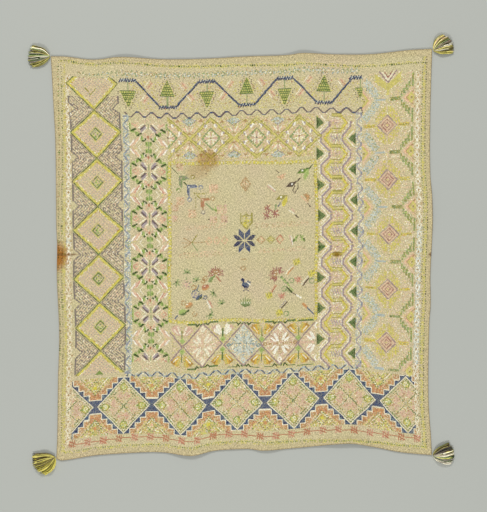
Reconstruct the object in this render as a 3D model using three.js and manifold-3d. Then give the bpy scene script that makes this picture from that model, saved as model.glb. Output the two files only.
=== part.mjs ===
// A square embroidered sampler: one linen ground cloth with a turned hem, lying flat, and a yarn tassel at each corner.
// Millimetres. +X is the cloth's right, +Y its head, +Z up. The underside lies on Z = 0, under the middle of the cloth.
import * as THREE from "three";
import { mergeVertices } from "three/addons/utils/BufferGeometryUtils.js";
import Module from "manifold-3d";

const wasm = await Module();
wasm.setup();

// Driving sizes of the ground cloth
const CORNERS = {
  headLeft: [-346.5, 357.3],
  headRight: [339.3, 370.8],
  footRight: [338.8, -360.0],
  footLeft: [-336.6, -366.3],
};
const CLOTH_THICK = 1.2;
const HEM_WIDTH = 10;
const HEM_EXTRA = 0.8;
const HEM_STEP = 3;
const CREASE_AT = 0.492;
const CREASE_HALF = 8;
const CREASE_RISE = 1.0;
const CELLS_ACROSS = 30;
const CELLS_DOWN = 32;
const EDGE_FADE = 1.5;

// How far each edge strays outwards from the straight line between its corners. Columns: at, the share of the edge
// from its start, and out, in mm. The head and foot run from left to right, the sides from head to foot.
const EDGE_WAVES = {
  head: [
    { at: 0, out: 0 },
    { at: 0.04, out: -1.1 },
    { at: 0.11, out: -7.4 },
    { at: 0.18, out: -3.7 },
    { at: 0.3, out: -9.4 },
    { at: 0.41, out: -9.5 },
    { at: 0.52, out: -6.9 },
    { at: 0.62, out: -6.1 },
    { at: 0.66, out: -3.2 },
    { at: 0.75, out: -6.6 },
    { at: 0.84, out: -7.3 },
    { at: 0.94, out: -1.4 },
    { at: 1, out: 0 },
  ],
  foot: [
    { at: 0, out: 0 },
    { at: 0.015, out: 3.3 },
    { at: 0.11, out: -5.6 },
    { at: 0.245, out: -10.2 },
    { at: 0.29, out: -9.0 },
    { at: 0.36, out: -3.1 },
    { at: 0.42, out: -11.4 },
    { at: 0.51, out: -14.2 },
    { at: 0.55, out: -11.1 },
    { at: 0.64, out: -15.2 },
    { at: 0.78, out: -22.4 },
    { at: 0.84, out: -16.3 },
    { at: 0.915, out: -6.0 },
    { at: 1, out: 0 },
  ],
  left: [
    { at: 0, out: 0 },
    { at: 0.12, out: -3.5 },
    { at: 0.22, out: -6.1 },
    { at: 0.42, out: -5.7 },
    { at: 0.48, out: -6.8 },
    { at: 0.55, out: -5.4 },
    { at: 0.69, out: -8.3 },
    { at: 0.8, out: -5.2 },
    { at: 0.94, out: -2.4 },
    { at: 1, out: 0 },
  ],
  right: [
    { at: 0, out: 0 },
    { at: 0.085, out: -2.1 },
    { at: 0.22, out: -4.0 },
    { at: 0.31, out: -3.1 },
    { at: 0.365, out: 0 },
    { at: 0.45, out: 0.6 },
    { at: 0.55, out: -2.9 },
    { at: 0.63, out: -2.5 },
    { at: 0.675, out: -5.0 },
    { at: 0.86, out: -6.3 },
    { at: 0.955, out: -1.8 },
    { at: 1, out: 0 },
  ],
};

// Where the hem lifts off the surface. Columns: edge, at (share of the edge), half (half length along it, as a share),
// reach (how far in the lift runs, mm) and rise (mm).
const HEM_LIFTS = [
  { edge: "foot", at: 0.36, half: 0.075, reach: 26, rise: 4.2 },
  { edge: "foot", at: 0.77, half: 0.1, reach: 34, rise: 5.0 },
  { edge: "foot", at: 0.56, half: 0.05, reach: 20, rise: 2.4 },
  { edge: "head", at: 0.2, half: 0.07, reach: 22, rise: 2.6 },
  { edge: "head", at: 0.66, half: 0.06, reach: 20, rise: 3.0 },
  { edge: "left", at: 0.5, half: 0.05, reach: 18, rise: 2.0 },
  { edge: "right", at: 0.4, half: 0.08, reach: 22, rise: 2.6 },
];

// Driving sizes of a tassel
const GAP = 0.3;
const HEAD_RADIUS = 6.5;
const HEAD_PROFILE = [
  { r: 0, z: 0.4 },
  { r: 5.6, z: 0.4 },
  { r: 6.5, z: 2.6 },
  { r: 6.1, z: 5.6 },
  { r: 4.2, z: 8.0 },
  { r: 0, z: 9.0 },
];
const HEAD_SIDES = 14;
const STRAND_RADIUS = 0.8;
const STRAND_TIP = 0.55;
const STRAND_SIDES = 3;
const LOWEST_SIN = -0.5;
const STRAND_STEPS = 4;
const STRAND_START = 2;
const LAYERS = 5;
const ROOT_LIFT = 0.6;
const ROOT_SPREAD = 0.35;
const LAYER_ROOT = 1.7;
const LAYER_SWELL = 1.7;
const TIP_DROP = 0.88;
const STRANDS_A_LAYER = 7;
const SHORTEST = 0.74;
const LAYER_SHORTENS = 0.05;
const WAVER = 0.16;
const WAVES = 0.7;

// Columns: corner, heading of the fan's middle, spread either side of it and sweep (degrees, anticlockwise from
// above; sweep is how far the tips turn on from the roots), and reach from the head's middle (mm).
const TASSELS = [
  { name: "tassel_head_left", corner: "headLeft", heading: 176, spread: 38, sweep: 14, reach: 38 },
  { name: "tassel_head_right", corner: "headRight", heading: 8, spread: 54, sweep: 4, reach: 37 },
  { name: "tassel_foot_right", corner: "footRight", heading: -4, spread: 42, sweep: 6, reach: 35 },
  { name: "tassel_foot_left", corner: "footLeft", heading: 184, spread: 44, sweep: 30, reach: 41 },
];

const LINEN = new THREE.MeshStandardMaterial({ color: 0xd6caa0, roughness: 0.95, metalness: 0 });
const YARN_COLOURS = {
  tassel_head_left: 0xc8ba62,
  tassel_head_right: 0xcbbd6c,
  tassel_foot_right: 0xc2b468,
  tassel_foot_left: 0xb4b456,
};

// A smooth value from a table of at and out, by cubic steps whose slopes come from the neighbouring rows.
function along(table, at) {
  let i = 0;
  while (i < table.length - 2 && at > table[i + 1].at) i += 1;
  const slope = (k) => {
    const before = table[Math.max(k - 1, 0)];
    const after = table[Math.min(k + 1, table.length - 1)];
    return (after.out - before.out) / (after.at - before.at);
  };
  const span = table[i + 1].at - table[i].at;
  const t = (at - table[i].at) / span;
  const ease = t * t * (3 - 2 * t);
  const leave = t * (1 - t) * (1 - t) * span * slope(i);
  const arrive = t * t * (t - 1) * span * slope(i + 1);
  return table[i].out * (1 - ease) + table[i + 1].out * ease + leave + arrive;
}

// The unit vector that points out of the cloth, square to the line from one corner to another.
function outwards(from, to, turn) {
  const dx = to[0] - from[0];
  const dy = to[1] - from[1];
  const length = Math.hypot(dx, dy);
  return [(turn * dy) / length, (-turn * dx) / length];
}

const { headLeft, headRight, footRight, footLeft } = CORNERS;
const OUT = {
  head: outwards(headLeft, headRight, -1),
  foot: outwards(footLeft, footRight, 1),
  left: outwards(headLeft, footLeft, 1),
  right: outwards(headRight, footRight, -1),
};

// The place of a point of the cloth: u runs from left to right and v from head to foot. The four corners give a
// straight-sided sheet, and each edge's waves are added to it, fading towards the opposite edge.
function place(u, v) {
  const waves = {
    head: along(EDGE_WAVES.head, u) * (1 - v) ** EDGE_FADE,
    foot: along(EDGE_WAVES.foot, u) * v ** EDGE_FADE,
    left: along(EDGE_WAVES.left, v) * (1 - u) ** EDGE_FADE,
    right: along(EDGE_WAVES.right, v) * u ** EDGE_FADE,
  };
  return [0, 1].map((axis) => {
    const headSide = headLeft[axis] * (1 - u) + headRight[axis] * u;
    const footSide = footLeft[axis] * (1 - u) + footRight[axis] * u;
    const strays = Object.keys(waves).reduce((sum, edge) => sum + waves[edge] * OUT[edge][axis], 0);
    return headSide * (1 - v) + footSide * v + strays;
  });
}

const WIDTH = headRight[0] - headLeft[0];
const HEIGHT = headLeft[1] - footLeft[1];

// A soft hump of height 1 that falls to 0 at one unit either side.
function hump(t) {
  return Math.abs(t) < 1 ? Math.cos((Math.PI / 2) * t) ** 2 : 0;
}

function liftAt(u, v) {
  const from = { head: v * HEIGHT, foot: (1 - v) * HEIGHT, left: u * WIDTH, right: (1 - u) * WIDTH };
  const run = { head: u, foot: u, left: v, right: v };
  return HEM_LIFTS.reduce((most, lift) => {
    const rise = lift.rise * hump((run[lift.edge] - lift.at) / lift.half) * hump(from[lift.edge] / lift.reach);
    return Math.max(most, rise);
  }, 0);
}

// The cloth's own thickness: doubled at the turned hem, and raised along the old fold.
function thickAt(u, v) {
  const inset = Math.min(u * WIDTH, (1 - u) * WIDTH, v * HEIGHT, (1 - v) * HEIGHT);
  const hem = THREE.MathUtils.clamp((HEM_WIDTH + HEM_STEP - inset) / HEM_STEP, 0, 1);
  const crease = hump(((v - CREASE_AT) * HEIGHT) / CREASE_HALF);
  return CLOTH_THICK + HEM_EXTRA * hem + CREASE_RISE * crease * (1 - hem);
}

// The shares at which the cloth's grid lines run: close at the hem and at any crease, even between them.
function gridLines(length, cells, crease) {
  const hem = [0, HEM_WIDTH / length, (HEM_WIDTH + HEM_STEP) / length];
  const lines = [...hem, ...hem.map((share) => 1 - share)];
  const first = hem[2];
  const span = 1 - 2 * first;
  for (let i = 1; i < cells; i += 1) lines.push(first + (span * i) / cells);
  if (crease === undefined) return lines.sort((a, b) => a - b);
  const half = CREASE_HALF / length;
  const clear = lines.filter((share) => Math.abs(share - crease) > half * 1.3);
  return [...clear, crease - half, crease - half / 2, crease, crease + half / 2, crease + half].sort((a, b) => a - b);
}

function geometryOf(points, faces) {
  const geometry = new THREE.BufferGeometry();
  geometry.setAttribute("position", new THREE.Float32BufferAttribute(points, 3));
  geometry.setIndex(faces);
  return geometry;
}

// The ground cloth: an upper and a lower skin over the same grid, joined round the rim.
function clothGeometry() {
  const us = gridLines(WIDTH, CELLS_ACROSS);
  const vs = gridLines(HEIGHT, CELLS_DOWN, CREASE_AT);
  const points = [];
  for (const over of [1, 0]) {
    for (const v of vs) {
      for (const u of us) {
        points.push(...place(u, v), liftAt(u, v) + over * thickAt(u, v));
      }
    }
  }
  const across = us.length;
  const below = across * vs.length;
  const at = (i, j) => j * across + i;
  const faces = [];
  for (let j = 0; j < vs.length - 1; j += 1) {
    for (let i = 0; i < across - 1; i += 1) {
      const [a, b, c, d] = [at(i, j), at(i + 1, j), at(i + 1, j + 1), at(i, j + 1)];
      faces.push(a, d, c, a, c, b);
      faces.push(below + a, below + c, below + d, below + a, below + b, below + c);
    }
  }
  const rim = [];
  for (let i = 0; i < across - 1; i += 1) rim.push(at(i, 0));
  for (let j = 0; j < vs.length - 1; j += 1) rim.push(at(across - 1, j));
  for (let i = across - 1; i > 0; i -= 1) rim.push(at(i, vs.length - 1));
  for (let j = vs.length - 1; j > 0; j -= 1) rim.push(at(0, j));
  rim.forEach((here, k) => {
    const next = rim[(k + 1) % rim.length];
    faces.push(here, next, below + next, here, below + next, below + here);
  });
  return geometryOf(points, faces);
}

function solidFrom(geometry) {
  const bare = geometry.clone();
  bare.deleteAttribute("normal");
  bare.deleteAttribute("uv");
  const merged = mergeVertices(bare, 1e-4);
  return new wasm.Manifold(
    new wasm.Mesh({
      numProp: 3,
      vertProperties: merged.attributes.position.array,
      triVerts: new Uint32Array(merged.index.array),
    }),
  );
}

function geometryFrom(solid) {
  const mesh = solid.getMesh();
  return geometryOf(Array.from(mesh.vertProperties), Array.from(mesh.triVerts));
}

// An even spread of shares from 0 to 1 that never repeats, so that strands differ but are the same each time.
function share(k) {
  return (k * 0.6180339887) % 1;
}

// The middle line of one strand, from inside the head to its tip: it leaves on its own heading, turns with the
// tassel's sweep, and rises and settles with its layer. The lowest layer lies on the surface all the way.
function strandPath(tassel, layer, k) {
  const order = layer * STRANDS_A_LAYER + k;
  const step = (2 * tassel.spread) / (STRANDS_A_LAYER - 1);
  const stagger = layer % 2 === 0 ? -step / 4 : step / 4;
  const heading = tassel.heading - tassel.spread + step * k + stagger;
  const full = tassel.reach * (SHORTEST + (1 - SHORTEST) * share(order + 1)) * (1 - LAYER_SHORTENS * layer);
  const path = [];
  for (let i = 0; i <= STRAND_STEPS; i += 1) {
    const t = i / STRAND_STEPS;
    const run = STRAND_START + (full - STRAND_START) * t;
    const far = run / tassel.reach;
    const waver = WAVER * step * t * Math.sin(2 * Math.PI * (WAVES * t + share(order)));
    const turn = THREE.MathUtils.degToRad(heading + tassel.sweep * far ** 2 + waver);
    const rise = LAYER_ROOT + LAYER_SWELL * Math.sin(Math.PI * TIP_DROP * far);
    const radius = THREE.MathUtils.lerp(STRAND_RADIUS, STRAND_TIP, t ** 2);
    const root = i === 0 ? ROOT_LIFT + ROOT_SPREAD * share(order * 3 + 1) : 0;
    path.push({ x: run * Math.cos(turn), y: run * Math.sin(turn), z: layer * rise + root, radius });
  }
  return path;
}

// A three-sided strand along a path, flat side down, so that the lowest ones rest level on the surface.
function strandGeometry(path) {
  const points = [];
  path.forEach((here, i) => {
    const before = path[Math.max(i - 1, 0)];
    const after = path[Math.min(i + 1, path.length - 1)];
    const length = Math.hypot(after.x - before.x, after.y - before.y);
    const side = [-(after.y - before.y) / length, (after.x - before.x) / length];
    for (let s = 0; s < STRAND_SIDES; s += 1) {
      const angle = Math.PI / 2 + (2 * Math.PI * s) / STRAND_SIDES;
      const aside = here.radius * Math.cos(angle);
      const up = here.radius * (Math.sin(angle) - LOWEST_SIN);
      points.push(here.x + side[0] * aside, here.y + side[1] * aside, here.z + up);
    }
  });
  const faces = [];
  const last = (path.length - 1) * STRAND_SIDES;
  for (let i = 0; i < path.length - 1; i += 1) {
    for (let s = 0; s < STRAND_SIDES; s += 1) {
      const a = i * STRAND_SIDES + s;
      const b = i * STRAND_SIDES + ((s + 1) % STRAND_SIDES);
      faces.push(a, b, a + STRAND_SIDES, b, b + STRAND_SIDES, a + STRAND_SIDES);
    }
  }
  faces.push(0, 2, 1, last, last + 1, last + 2);
  return geometryOf(points, faces);
}

// One tassel about its head's middle: the bound head and its strands in layers, fused at the roots.
function tasselGeometry(tassel) {
  const profile = HEAD_PROFILE.map((row) => new THREE.Vector2(row.r, row.z));
  const head = new THREE.LatheGeometry(profile, HEAD_SIDES).rotateX(Math.PI / 2);
  const solids = [solidFrom(head)];
  for (let layer = 0; layer < LAYERS; layer += 1) {
    for (let k = 0; k < STRANDS_A_LAYER; k += 1) {
      solids.push(solidFrom(strandGeometry(strandPath(tassel, layer, k))));
    }
  }
  return geometryFrom(wasm.Manifold.union(solids));
}

const sampler = new THREE.Group();

const cloth = new THREE.Mesh(clothGeometry(), LINEN);
cloth.name = "ground_cloth";
sampler.add(cloth);

for (const tassel of TASSELS) {
  const yarn = new THREE.MeshStandardMaterial({ color: YARN_COLOURS[tassel.name], roughness: 0.9, metalness: 0 });
  const mesh = new THREE.Mesh(tasselGeometry(tassel), yarn);
  mesh.name = tassel.name;
  const [x, y] = CORNERS[tassel.corner];
  const side = Math.sign(x);
  mesh.position.set(x + side * (HEAD_RADIUS + GAP), y, 0);
  sampler.add(mesh);
}

export default sampler;
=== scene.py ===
# %% [markdown]
# # An embroidered sampler, laid flat
# The real object is one square of hand-woven linen with a turned hem, worked nearly all over in coloured
# thread, with a yarn tassel sewn on at each corner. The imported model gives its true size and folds. This
# script gives it its looks: the weave, every stitch as a small raised loop of thread, the loose yarn ends
# and the stains of age.

import bpy
import numpy as np
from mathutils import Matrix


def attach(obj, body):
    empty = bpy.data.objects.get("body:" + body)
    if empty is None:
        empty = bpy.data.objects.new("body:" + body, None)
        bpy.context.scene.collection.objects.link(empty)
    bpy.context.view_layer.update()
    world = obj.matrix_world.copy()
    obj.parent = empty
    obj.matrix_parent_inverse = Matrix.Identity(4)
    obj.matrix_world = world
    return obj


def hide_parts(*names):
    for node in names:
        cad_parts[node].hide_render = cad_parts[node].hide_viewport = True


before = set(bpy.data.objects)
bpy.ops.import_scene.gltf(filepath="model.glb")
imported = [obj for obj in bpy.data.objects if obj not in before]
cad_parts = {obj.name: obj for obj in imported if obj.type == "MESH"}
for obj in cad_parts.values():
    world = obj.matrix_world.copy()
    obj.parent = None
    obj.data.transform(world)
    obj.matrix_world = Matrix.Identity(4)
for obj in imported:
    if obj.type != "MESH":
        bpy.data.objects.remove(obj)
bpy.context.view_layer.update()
print("nodes:", sorted(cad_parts))

# %% [markdown]
# ## The shape of the cloth
# Old linen never lies square. Its four corners are the driving sizes, and each edge strays from the
# straight line between its corners as a short table says. A sheet like this could be cut from a plane and
# pushed about by hand. A formula is surer: a Coons patch spreads the waves of the edges over the inside, so
# that the cloth, the hem and all the stitches follow the same threads.

# %% Corners and edges of the cloth, in millimetres
CORNERS = {
    "head_left": (-346.5, 357.3),
    "head_right": (339.3, 370.8),
    "foot_right": (338.8, -360.0),
    "foot_left": (-336.6, -366.3),
}
# Each edge: its two corners, the turn that points its waves outwards, and rows of share along it and mm out.
EDGES = {
    "head": ("head_left", "head_right", -1, [
        (0, 0), (0.04, -1.1), (0.11, -7.4), (0.18, -3.7), (0.3, -9.4), (0.41, -9.5), (0.52, -6.9),
        (0.62, -6.1), (0.66, -3.2), (0.75, -6.6), (0.84, -7.3), (0.94, -1.4), (1, 0)]),
    "foot": ("foot_left", "foot_right", 1, [
        (0, 0), (0.015, 3.3), (0.11, -5.6), (0.245, -10.2), (0.29, -9.0), (0.36, -3.1), (0.42, -11.4),
        (0.51, -14.2), (0.55, -11.1), (0.64, -15.2), (0.78, -22.4), (0.84, -16.3), (0.915, -6.0), (1, 0)]),
    "left": ("head_left", "foot_left", 1, [
        (0, 0), (0.12, -3.5), (0.22, -6.1), (0.42, -5.7), (0.48, -6.8), (0.55, -5.4), (0.69, -8.3),
        (0.8, -5.2), (0.94, -2.4), (1, 0)]),
    "right": ("head_right", "foot_right", -1, [
        (0, 0), (0.085, -2.1), (0.22, -4.0), (0.31, -3.1), (0.365, 0), (0.45, 0.6), (0.55, -2.9),
        (0.63, -2.5), (0.675, -5.0), (0.86, -6.3), (0.955, -1.8), (1, 0)]),
}
EDGE_FADE = 1.5


def smooth_row(table, at):
    """A smooth value from rows of (at, value): cubics whose slopes come from the rows beside."""
    rows = np.array(table, float)
    x, y = rows[:, 0], rows[:, 1]
    low, high = np.maximum(np.arange(len(x)) - 1, 0), np.minimum(np.arange(len(x)) + 1, len(x) - 1)
    slope = (y[high] - y[low]) / (x[high] - x[low])
    i = np.clip(np.searchsorted(x, at, side="right") - 1, 0, len(x) - 2)
    span = x[i + 1] - x[i]
    t = (at - x[i]) / span
    ease = t * t * (3 - 2 * t)
    leave = t * (1 - t) ** 2 * span * slope[i]
    arrive = t * t * (t - 1) * span * slope[i + 1]
    return y[i] * (1 - ease) + y[i + 1] * ease + leave + arrive


def outwards(start, end, turn):
    """The unit vector square to the line between two corners, pointing out of the cloth."""
    dx, dy = np.subtract(CORNERS[end], CORNERS[start])
    return np.array([turn * dy, -turn * dx]) / np.hypot(dx, dy)


def place(u, v):
    """Where a point of the cloth lies, in mm: u from left to right, v from head to foot. It is the patch
    between the straight sides, plus each edge's waves, which fade towards the opposite edge."""
    u, v = np.asarray(u, float), np.asarray(v, float)
    corner = {name: np.array(xy) for name, xy in CORNERS.items()}
    u1, v1 = u[..., None], v[..., None]
    head = corner["head_left"] * (1 - u1) + corner["head_right"] * u1
    foot = corner["foot_left"] * (1 - u1) + corner["foot_right"] * u1
    at = head * (1 - v1) + foot * v1
    runs = {"head": (u, 1 - v), "foot": (u, v), "left": (v, 1 - u), "right": (v, u)}
    for name, (start, end, turn, table) in EDGES.items():
        run, near = runs[name]
        at = at + (smooth_row(table, run) * near**EDGE_FADE)[..., None] * outwards(start, end, turn)
    return at


print("the middle of the cloth lies at", place(0.5, 0.5).round(1), "mm")

# %% [markdown]
# ## The thread and the chart
# The sampler is counted work: every stitch covers one square of the linen's threads. So the whole pattern
# is a chart of 420 by 444 stitches of 1.6 mm, and a motif is a rule that fills squares of the chart.
# Painting it on a picture would be quicker, but it would be flat. A chart of stitches can be worked in real
# thread afterwards.

# %% The palette of faded threads
# Each thread has a name and its colour as seen, 0 to 255.
THREADS = {
    "white": (247, 242, 224),
    "cream": (240, 232, 205),
    "straw": (208, 197, 112),
    "yellow": (216, 203, 78),
    "gold": (214, 176, 74),
    "ochre": (178, 136, 58),
    "olive": (158, 150, 74),
    "light_green": (168, 188, 108),
    "leaf": (118, 146, 66),
    "dark_green": (60, 84, 38),
    "sage": (138, 156, 104),
    "green": (96, 120, 66),
    "navy": (42, 50, 88),
    "slate": (88, 102, 122),
    "teal": (124, 148, 148),
    "indigo": (80, 84, 120),
    "pale_blue": (176, 187, 182),
    "haze": (140, 146, 158),
    "denim": (66, 80, 114),
    "drab": (152, 142, 128),
    "frost": (206, 212, 200),
    "lilac": (172, 158, 160),
    "mauve": (156, 132, 132),
    "taupe": (128, 117, 110),
    "plum": (110, 94, 98),
    "aubergine": (74, 58, 74),
    "rosewood": (160, 104, 96),
    "rust": (184, 122, 90),
    "orange": (205, 152, 98),
    "rose": (206, 146, 126),
    "peach": (228, 188, 152),
    "pink": (216, 180, 158),
    "blush": (222, 194, 160),
    "umber": (86, 70, 60),
    "tan": (178, 144, 96),
}
THREAD_NAMES = list(THREADS)
CODE = {name: k + 1 for k, name in enumerate(THREAD_NAMES)}

# %% The chart and the ways to fill it
COLUMNS, ROWS = 420, 444
SLANT, BACKSLANT, FLAT, UPRIGHT = range(4)
chart = np.zeros((ROWS, COLUMNS), np.uint8)
lay = np.zeros((ROWS, COLUMNS), np.uint8)
row_at, column_at = np.mgrid[0:ROWS, 0:COLUMNS] + 0.5


def work(where, thread, way=SLANT, box=np.s_[:]):
    """Fills the squares where the mask is true with a thread, each stitch lying one way. No thread unpicks
    them."""
    chart[box][where] = CODE[thread] if thread else 0
    lay[box][where] = way


def around(points, reach):
    """The part of the chart near some points: a small figure is worked out there alone, not on every
    square."""
    low = np.maximum(np.floor(np.min(points, 0) - reach), 0).astype(int)
    high = np.maximum(np.ceil(np.max(points, 0) + reach), 1).astype(int)
    return np.s_[low[1]:high[1], low[0]:high[0]]


def window(c0, r0, c1, r1):
    """The squares inside a box of the chart."""
    return (column_at >= c0) & (column_at < c1) & (row_at >= r0) & (row_at < r1)


def from_line(c0, r0, c1, r1, box=np.s_[:]):
    """Each square's distance from the straight stretch between two points, and its share of the way along
    it."""
    dc, dr = c1 - c0, r1 - r0
    length = max(dc * dc + dr * dr, 1e-9)
    share = ((column_at[box] - c0) * dc + (row_at[box] - r0) * dr) / length
    near = np.clip(share, 0, 1)
    off = np.hypot(column_at[box] - c0 - near * dc, row_at[box] - r0 - near * dr)
    return off, near * np.sqrt(length)


def way_of(c0, r0, c1, r1):
    """The way that stitches lie along a line: flat, upright or on the nearer slant."""
    dc, dr = c1 - c0, r1 - r0
    if abs(dc) > 2.2 * abs(dr):
        return FLAT
    if abs(dr) > 2.2 * abs(dc):
        return UPRIGHT
    return BACKSLANT if dc * dr > 0 else SLANT


def stroke(points, thread, wide=1.0, gap=0, on=1.0):
    """A line of stitches through the points. With a gap, it is broken: on stitches worked, then gap left
    bare."""
    for start, stop in zip(points, points[1:]):
        box = around([start, stop], wide)
        off, run = from_line(*start, *stop, box)
        where = off <= wide / 2
        if gap:
            where &= np.mod(run, on + gap) < on
        work(where, thread, way_of(*start, *stop), box)


def dot(c, r, thread, wide, way=SLANT):
    """A round spot of stitches."""
    box = around([(c, r)], wide)
    work(np.hypot(column_at[box] - c, row_at[box] - r) <= wide / 2, thread, way, box)


def lozenge(c, r, half_wide, half_high):
    """How far out each square lies from a diamond's middle: 0 there, 1 on the diamond's edge."""
    return abs(column_at - c) / half_wide + abs(row_at - r) / half_high


def ring(c, r, half_wide, half_high, thread, wide=1.0, within=None):
    """A diamond's outline, as wide as told across its slant."""
    out = lozenge(c, r, half_wide, half_high)
    reach = wide * 0.75 / min(half_wide, half_high)
    where = abs(out - 1) <= reach
    for way, side in ((SLANT, 1), (BACKSLANT, -1)):
        part = where & ((column_at - c) * (row_at - r) * side < 0)
        work(part if within is None else part & within, thread, way)


print(len(THREADS), "threads, and", COLUMNS, "by", ROWS, "stitches")

# %% [markdown]
# ## Borders and bands
# Outside is a dotted line, then a white chain, then bands that meet in the corners. Each band is one motif,
# mirrored about its middle and repeated at a pitch counted in stitches. Drawing every repeat apart would
# let them drift. With one rule per motif they keep to the count, as the worker did, and the thread choices
# alone vary.

# %% Motif tools
QUARTERS = ((1, 1), (-1, 1), (-1, -1), (1, -1))
SIDES, ENDS, ONCE = QUARTERS[:2], ((1, 1), (1, -1)), QUARTERS[:1]
chance = np.random.default_rng(7).random(chart.shape)
across_count, down_count = np.floor(column_at), np.floor(row_at)
every_other = down_count % 2 == 0
checked = (across_count + down_count) % 2 == 0


def lines(c, r, turns, *rows):
    """Lines of stitches round a middle, drawn in each mirrored place. Each row: thread, width or (width,
    stitches worked, stitches left bare), then the column and row of each point in turn."""
    for thread, width, *flat in rows:
        wide, on, gap = width if isinstance(width, tuple) else (width, 1.0, 0)
        for dc, dr in turns:
            points = [(c + dc * x, r + dr * y) for x, y in zip(flat[::2], flat[1::2])]
            stroke(points, thread, wide, gap, on)


def inside(points, box=np.s_[:]):
    """The squares within a polygon: a line from the square crosses the polygon's sides an odd number of
    times."""
    across, down = column_at[box], row_at[box]
    odd = np.zeros(across.shape, bool)
    for (c0, r0), (c1, r1) in zip(points, points[1:] + points[:1]):
        if r0 != r1:
            odd ^= ((r0 > down) != (r1 > down)) & (across < c0 + (down - r0) * (c1 - c0) / (r1 - r0))
    return odd


def shape(c, r, points, thread, way=SLANT, turns=ONCE):
    """A filled polygon, given round a middle, in each mirrored place."""
    for dc, dr in turns:
        moved = [(c + dc * x, r + dr * y) for x, y in points]
        box = around(moved, 1)
        work(inside(moved, box), thread, way, box)


def oval(c, r, long, wide, angle, thread, way=SLANT, dark=None):
    """A filled oval lying at an angle in degrees, anticlockwise from the right. Its lower half may be
    darker."""
    box = around([(c, r)], max(long, wide) + 1)
    turn = np.radians(angle)
    ahead = (column_at[box] - c) * np.cos(turn) - (row_at[box] - r) * np.sin(turn)
    square = (column_at[box] - c) * np.sin(turn) + (row_at[box] - r) * np.cos(turn)
    within = (ahead / long) ** 2 + (square / wide) ** 2 < 1
    work(within, thread, way, box)
    if dark:
        work(within & (square > wide * 0.25), dark, BACKSLANT, box)


def mottle(where, way=SLANT, **mix):
    """Stitches of several threads, each on its own seeded share of the squares; the rest stay as they are."""
    start = 0.0
    for thread, share in mix.items():
        work(where & (chance >= start) & (chance < start + share), thread, way)
        start += share


# %% The dotted edge and the white chain
def edge_column(r, middle, bend):
    """A column that strays from its line towards the head, as the first counted threads did."""
    return middle + bend * (1 - r / ROWS) ** 2.6


def chain(middle, bend, first, cold):
    """A white chain down a side: open links with a dark eye each, on a pale ground that is bluish in some
    rows."""
    last, pitch = 424, 9.7
    line = edge_column(row_at, middle, bend)
    ground = (abs(column_at - line) < 3.0) & (row_at > first - 4) & (row_at < last + 4)
    mottle(ground, FLAT, cream=0.12, blush=0.12, tan=0.08)
    mottle(ground & (row_at > cold[0]) & (row_at < cold[1]), FLAT, frost=0.4, pale_blue=0.14)
    for r in np.arange(first, last, pitch):
        c = edge_column(r, middle, bend)
        ring(c, r, 2.3, 3.5, "white" if 60 < r < cold[1] + 30 else "cream", 0.6)
        dot(c, r, "tan", 1.7)
        dot(c, r + pitch / 2, "cream", 1.5)
        for side in (-1, 1):
            dot(c + 3.0 * side, r + pitch / 2, "tan", 1.3)


DOT_PITCH, DOT_ON = 2.7, 1.2
down = (row_at > 8) & (row_at < 435)
for middle, bend, thread in ((0.7, 6.8, "tan"), (4.4, 6.8, "olive"), (410.6, 0, "olive"),
                             (414.8, 0, "umber")):
    line = edge_column(row_at, middle, bend)
    dots = (abs(column_at - line) < 0.6) & down & (row_at % DOT_PITCH < DOT_ON)
    mottle(dots, FLAT, leaf=0.3, **{thread: 0.34}, dark_green=0.34)
mottle((abs(column_at - edge_column(row_at, 7.0, 6.8)) < 1.6) & down, UPRIGHT, straw=0.5)
mottle((abs(column_at - 412.6) < 1.2) & down, UPRIGHT, straw=0.55)

along = (column_at > 8) & (column_at < 415)
head_line = 5.7 + 0.0256 * (column_at - 53.7)
foot_line = 435.6 + 4.8 * np.exp(-(((column_at - 325) / 42) ** 2))
for line, thread in ((head_line, "dark_green"), (foot_line, "green")):
    mottle((abs(row_at - line) < 2.0) & along, UPRIGHT, straw=0.36)
    dots = (abs(row_at - line) < 0.6) & along & (column_at % DOT_PITCH < DOT_ON)
    mottle(dots, UPRIGHT, **{thread: 0.55}, leaf=0.4)

chain(11.8, 6.2, 24, (200, 206))
chain(405.7, 0, 28, (192, 345))
for c in np.arange(30, 342, 5.3):
    mottle(abs(lozenge(c, 18.2, 1.9, 2.8) - 1) < 0.45, FLAT, sage=0.3, pale_blue=0.25, tan=0.12)
    dot(c, 18.2, "cream", 1.5)

# %% The tree band along the head
HEAD_ROW, FOOT_ROW, RUN_HALF = 25.6, 54.0, 8.6
HEAD_RUNS, FOOT_RUNS = (83.3, 171.1, 257.6), (127.0, 215.3, 301.2)
LEAF_PITCH, BARK = 2.6, 1.0


def tree(c, apex, base, half_wide, stem):
    """A tree of rows that narrow to a point: dark rows, rows of light leaves between, small dots outside, a
    stem."""
    share = (row_at - apex) / (base - apex)
    from_base = abs(row_at - base)
    layer = np.floor(from_base / LEAF_PITCH)
    reach = half_wide * (1 - layer * LEAF_PITCH / abs(base - apex)) + 0.2
    body = (share >= 0) & (share < 1) & (abs(column_at - c) <= reach)
    leafy = body & (from_base % LEAF_PITCH > BARK)
    work(leafy, "leaf", UPRIGHT)
    work(leafy & ((column_at - c + layer) % 2.2 < 1.1), "straw", UPRIGHT)
    work(body & ~leafy, "green", FLAT)
    work(body & ~leafy & ((chance < 0.35) | (share < 0.3)), "dark_green", FLAT)
    halo = (share > -0.2) & (share < 1) & (abs(abs(column_at - c) - 3.2 - half_wide * share) < 0.9)
    work(halo & every_other & (across_count % 2 == 0), "umber", FLAT)
    stroke([(c, stem[0]), (c, stem[1])], "sage", 1.1)


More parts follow.
